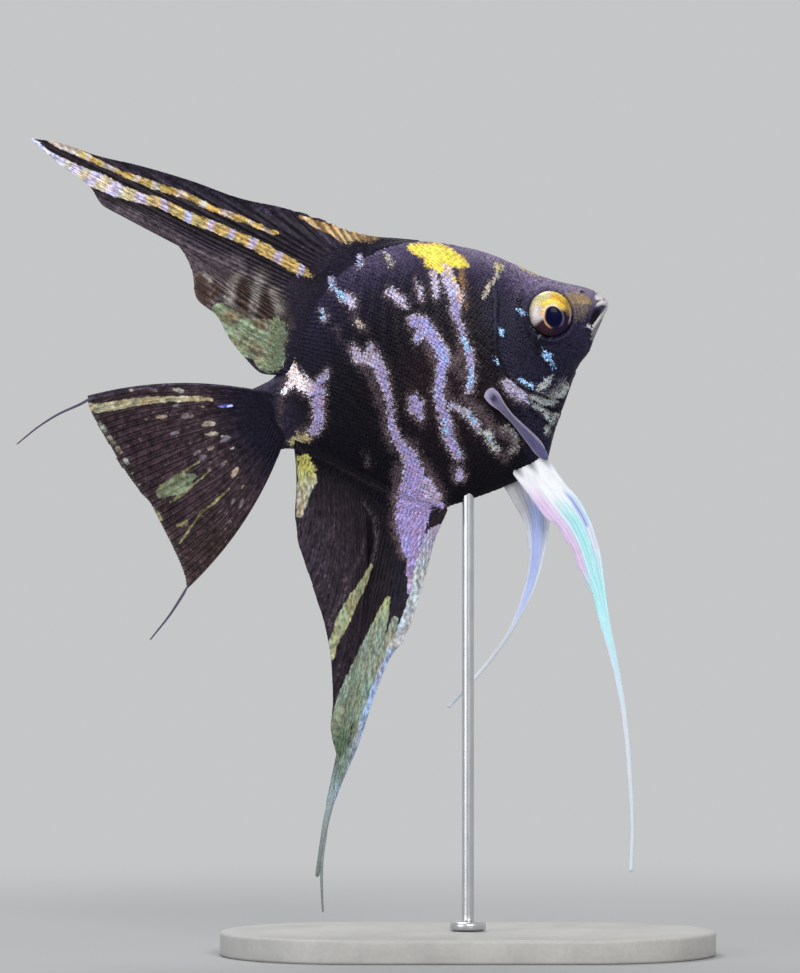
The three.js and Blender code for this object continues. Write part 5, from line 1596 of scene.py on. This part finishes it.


def iris_paint(x, z, r, hole, front):
    """The eyeball's colours: a gold iris, lit above and dusky below, in a dark rim.

    `hole` is the distance from the pupil's middle, 1 at its edge.
    """
    angle = np.arctan2(z, x) + NOSE_UP
    facing = lambda at, low, high: ease(np.cos(angle - math.radians(at)), low, high)
    return laid(
        r.shape, (0.016, 0.009, 0.026),
        ((0.04, 0.018, 0.02), facing(232, 0.55, 0.95) * 0.8),
        ((0.6, 0.54, 0.55), facing(165, 0.55, 0.82) * ease(hole, 0.95, 1.3)),
        ((0.5, 0.42, 0.27), facing(160, 0.6, 0.85) * ease(r, 4.5, 5.1) * 0.9),
        ((0.75, 0.56, 0.09), facing(81, 0.25, 0.66) * ease(hole, 1, 1.15)),
        ((0.63, 0.58, 0.36), facing(124, 0.6, 0.92) * ease(r, 2.8, 4.6) * 0.9),
        ((0.72, 0.37, 0.05), facing(60, 0.78, 0.97) * hump(r - 3.7, 1.1) * 0.85),
        ((0.32, 0.18, 0.05), facing(20, 0.88, 0.98) * ease(r, 3.6, 4.5) * 0.8),
        ((0.76, 0.68, 0.55), hump(hole - 1.17, 0.12) * facing(116, -0.1, 0.6) * 0.9),
        ((0.78, 0.42, 0.12), hump(np.hypot(x + 1.85, z - 0.95), 0.75) * 0.85),
        ((0.15, 0.125, 0.23), hump(hole - 1.2, 0.09) * facing(-8, 0.6, 0.95) * 0.8),
        # painted highlight: a pale crescent at the front edge, where the cornea would catch the light
        ((0.45, 0.34, 0.4), hump(r - HIGHLIGHT_ARC, 0.2) * facing(-2, 0.88, 0.98) * 0.8),
        ((0.84, 0.47, 0.24), hump(hole - 1.22, 0.085) * facing(212, 0.35, 0.8)),
        ((0.012, 0.009, 0.02), ease(r, 5.0, 5.4) * facing(-75, 0.0, 0.5)),
        ((0.012, 0.009, 0.016), ease(np.where(front, r, -OUTSIDE), 5.38, 5.5)))


def eye_piece(side, word, material):
    """An eyeball: a flattened ball with a raised lens over the pupil and a dished iris round it."""
    rings, sectors, wrapped = 90, 180, np.pi * 0.8  # how far back the ball goes
    bend = np.linspace(0.0001, 1, rings)[:, None] ** 0.9 * wrapped
    sector = np.linspace(0, 2 * np.pi, sectors, endpoint=False)[None, :]
    r = np.broadcast_to(EYE_RADIUS * np.sin(bend), (rings, sectors))
    x, z = r * np.cos(sector), r * np.sin(sector)
    front = bend < np.pi / 2
    hole = np.hypot((x - PUPIL[0]) / PUPIL[2], (z - PUPIL[1]) / PUPIL[3])
    lens = 0.16 * np.sqrt(np.clip(1 - hole**2, 0, 1)) - 0.07 * hump(hole - 1.03, 0.05)
    dish = -0.1 * hump(hole - 1.45, 0.3) + 0.07 * hump(r - RIM, 0.3)
    y = EYE_OUT + EYE_DEPTH * np.cos(bend) + (lens + dish) * front
    grain = joined(hole * 0.9, np.cos(sector) * 3, np.sin(sector) * 3)
    ground, pupil = iris_paint(x, z, r, hole, front), np.where(front, 1 - hole, OUTSIDE)
    share = bend / wrapped
    uv = joined(share * np.cos(sector), share * np.sin(sector)) * 0.48 + 0.5
    quads = grid_faces(rings, sectors, wrap=True)
    piece = Piece()
    piece.add(joined(EYE[0] + x, side * y, EYE[1] + z * EYE_TALL), quads if side > 0 else quads[:, ::-1],
              flat(dict(ground=ground, mark=pupil, grain=grain)), uv)
    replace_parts(piece.build(f"eyeball_{word}", material, "eye"), f"eye_{word}")


iris = eye_material()
for side, word in SIDES:
    eye_piece(side, word, iris)

# ---------------------------------------------------------------- the stand


def stadium(straight, radius, count=192):
    """A rounded oblong's outline, anticlockwise."""
    t = np.linspace(0, 2 * np.pi, count, endpoint=False)
    return np.where(np.cos(t) >= 0, straight, -straight) + radius * np.cos(t), radius * np.sin(t)


def quarter(steps, start=0.0):
    """A quarter turn in steps, as (1 - cos, 1 - sin) pairs."""
    return [(1 - math.cos(k), 1 - math.sin(k)) for k in np.linspace(start, np.pi / 2, steps)]


def node_box(node):
    """A node's half length, half width, bottom and top, in millimetres."""
    low, high = (np.array(corner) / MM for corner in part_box(node))
    return (high[0] - low[0]) / 2, (high[1] - low[1]) / 2, low[2], high[2]


def stand_base_rings(bevel=0.8):
    """Rings from the underside's middle round a bevelled rim to the top's middle."""
    half_length, reach, low, high = node_box("stand_base")
    lower = [(bevel * from_side, low + bevel * up) for up, from_side in quarter(6)]
    upper = [(bevel * inset, high - bevel * down) for inset, down in quarter(6)]
    inner = [reach * share for share in (0.12, 0.3, 0.5, 0.75, 1)]
    profile = [(inset, low) for inset in inner[::-1]] + lower + upper + [(inset, high) for inset in inner]
    straight = half_length - reach
    return np.array([joined(*stadium(straight, reach - inset), height) for inset, height in profile])


def stand_rod_rings(rod=1.5):
    """Rings from the foot of the rod's collar, up the collar and the rod, to its top."""
    collar, _, foot, top = node_box("stand_rod")
    brim, neck = foot + 1.2, foot + 2.2  # where the collar rounds over, and where it curves up the rod
    profile = [(0.01, foot), (collar - 0.3, foot), (collar, foot + 0.3), (collar, brim)]
    profile += [(collar - 0.9 * inset, brim + 0.9 * (1 - down)) for inset, down in quarter(6, 0.2)]
    profile += [(rod + 0.866349, neck)]
    profile += [(rod + 0.5 * out, neck + 0.3 * up) for up, out in quarter(5)]
    profile += [(rod, height) for height in np.linspace(foot + 4, top - 0.3, 40)]
    profile += [(rod - 0.3, top), (0.01, top)]
    t = np.linspace(0, 2 * np.pi, 64, endpoint=False)
    return np.array([joined(r * np.cos(t), r * np.sin(t), height) for r, height in profile])


def plain_piece(name, rings, material, slot, node):
    """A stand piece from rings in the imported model's frame, in millimetres."""
    piece = Piece()
    points = (rings * MM - np.array(ROOT)) @ np.array(TURN) / MM
    piece.add(points, grid_faces(*rings.shape[:2], wrap=True), {})
    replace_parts(piece.build(name, material, slot), node)


plain_piece("display_base", stand_base_rings(), base_material(), "base", "stand_base")
plain_piece("display_rod", stand_rod_rings(), steel_material(), "steel", "stand_rod")


# ---------------------------------------------------------------- the floor, lights and camera

BACKDROP = (0.56, 0.565, 0.57)


def floor_material():
    """Plain grey that fades into the backdrop away from the model."""
    n = Nodes("floor")
    at = n.node("ShaderNodeTexCoord").outputs["Object"]
    far = n.node("ShaderNodeVectorMath", {0: at}, operation="LENGTH").outputs["Value"]
    diffuse = n.node("ShaderNodeBsdfDiffuse", {"Color": (0.43, 0.43, 0.43)})
    glow = n.node("ShaderNodeEmission", {"Color": BACKDROP, "Strength": 1.0})
    share = n.span(far, 0.1, 0.42)
    mixed = n.node("ShaderNodeMixShader", {0: share, 1: diffuse.outputs[0], 2: glow.outputs[0]})
    n.node("ShaderNodeOutputMaterial", {"Surface": mixed.outputs[0]})
    return n.material


bpy.ops.mesh.primitive_circle_add(vertices=128, radius=6, fill_type="NGON", location=(0, 0, 0))
floor = bpy.context.object
floor.name = "floor"
floor.data.materials.append(floor_material())


def make_world():
    """A dim bluish light from all round, seen as the plain backdrop."""
    studio = bpy.data.worlds.new("studio")
    studio.use_nodes = True
    tree = studio.node_tree
    tree.nodes.clear()
    path = tree.nodes.new("ShaderNodeLightPath")
    seen, *others = (path.outputs[f"Is {kind} Ray"] for kind in ("Camera", "Glossy", "Transmission"))
    for ray in others:
        either = tree.nodes.new("ShaderNodeMath")
        either.operation = "MAXIMUM"
        tree.links.new(seen, either.inputs[0])
        tree.links.new(ray, either.inputs[1])
        seen = either.outputs[0]
    shown = tree.nodes.new("ShaderNodeBackground")
    shown.inputs["Color"].default_value = (*BACKDROP, 1)
    light = tree.nodes.new("ShaderNodeBackground")
    light.inputs["Color"].default_value = (0.9, 0.95, 1, 1)
    light.inputs["Strength"].default_value = 0.42
    mixed = tree.nodes.new("ShaderNodeMixShader")
    out = tree.nodes.new("ShaderNodeOutputWorld")
    for start, end in ((seen, mixed.inputs[0]), (light.outputs[0], mixed.inputs[1]),
                       (shown.outputs[0], mixed.inputs[2]), (mixed.outputs[0], out.inputs[0])):
        tree.links.new(start, end)
    bpy.context.scene.world = studio


make_world()


def lamp(name, at, size, power, colour=(1, 1, 1)):
    """A square light that faces the fish."""
    data = bpy.data.lights.new(name, "AREA")
    data.size = size
    data.energy = power
    data.color = colour
    obj = bpy.data.objects.new(name, data)
    obj.location = at
    obj.rotation_euler = (Vector(CENTRE) - Vector(at)).to_track_quat("-Z", "Y").to_euler()
    bpy.context.scene.collection.objects.link(obj)


CENTRE = (-0.01, 0, 0.12)
lamp("key", (0.25, -0.95, 0.6), 0.5, 7.4, (1, 0.98, 0.95))
lamp("top", (-0.15, 0.35, 0.85), 0.45, 4.0)
lamp("fill", (-0.7, -0.6, 0.3), 0.6, 3.0, (0.93, 0.96, 1))

SENSOR = 36  # its height in mm
DISTANCE, VIEW_HEIGHT = 1.6, 0.24325  # metres from camera to fish, and how many the picture is high there
camera_data = bpy.data.cameras.new("camera")
camera_data.sensor_fit = "VERTICAL"
camera_data.sensor_height = SENSOR
camera_data.lens = SENSOR * DISTANCE / VIEW_HEIGHT
camera = bpy.data.objects.new("camera", camera_data)
camera.location = (-0.017, -DISTANCE, 0.1171)
camera.rotation_euler = (math.pi / 2, 0, 0)
bpy.context.scene.collection.objects.link(camera)
bpy.context.scene.camera = camera
bpy.context.scene.view_settings.view_transform = "Standard"
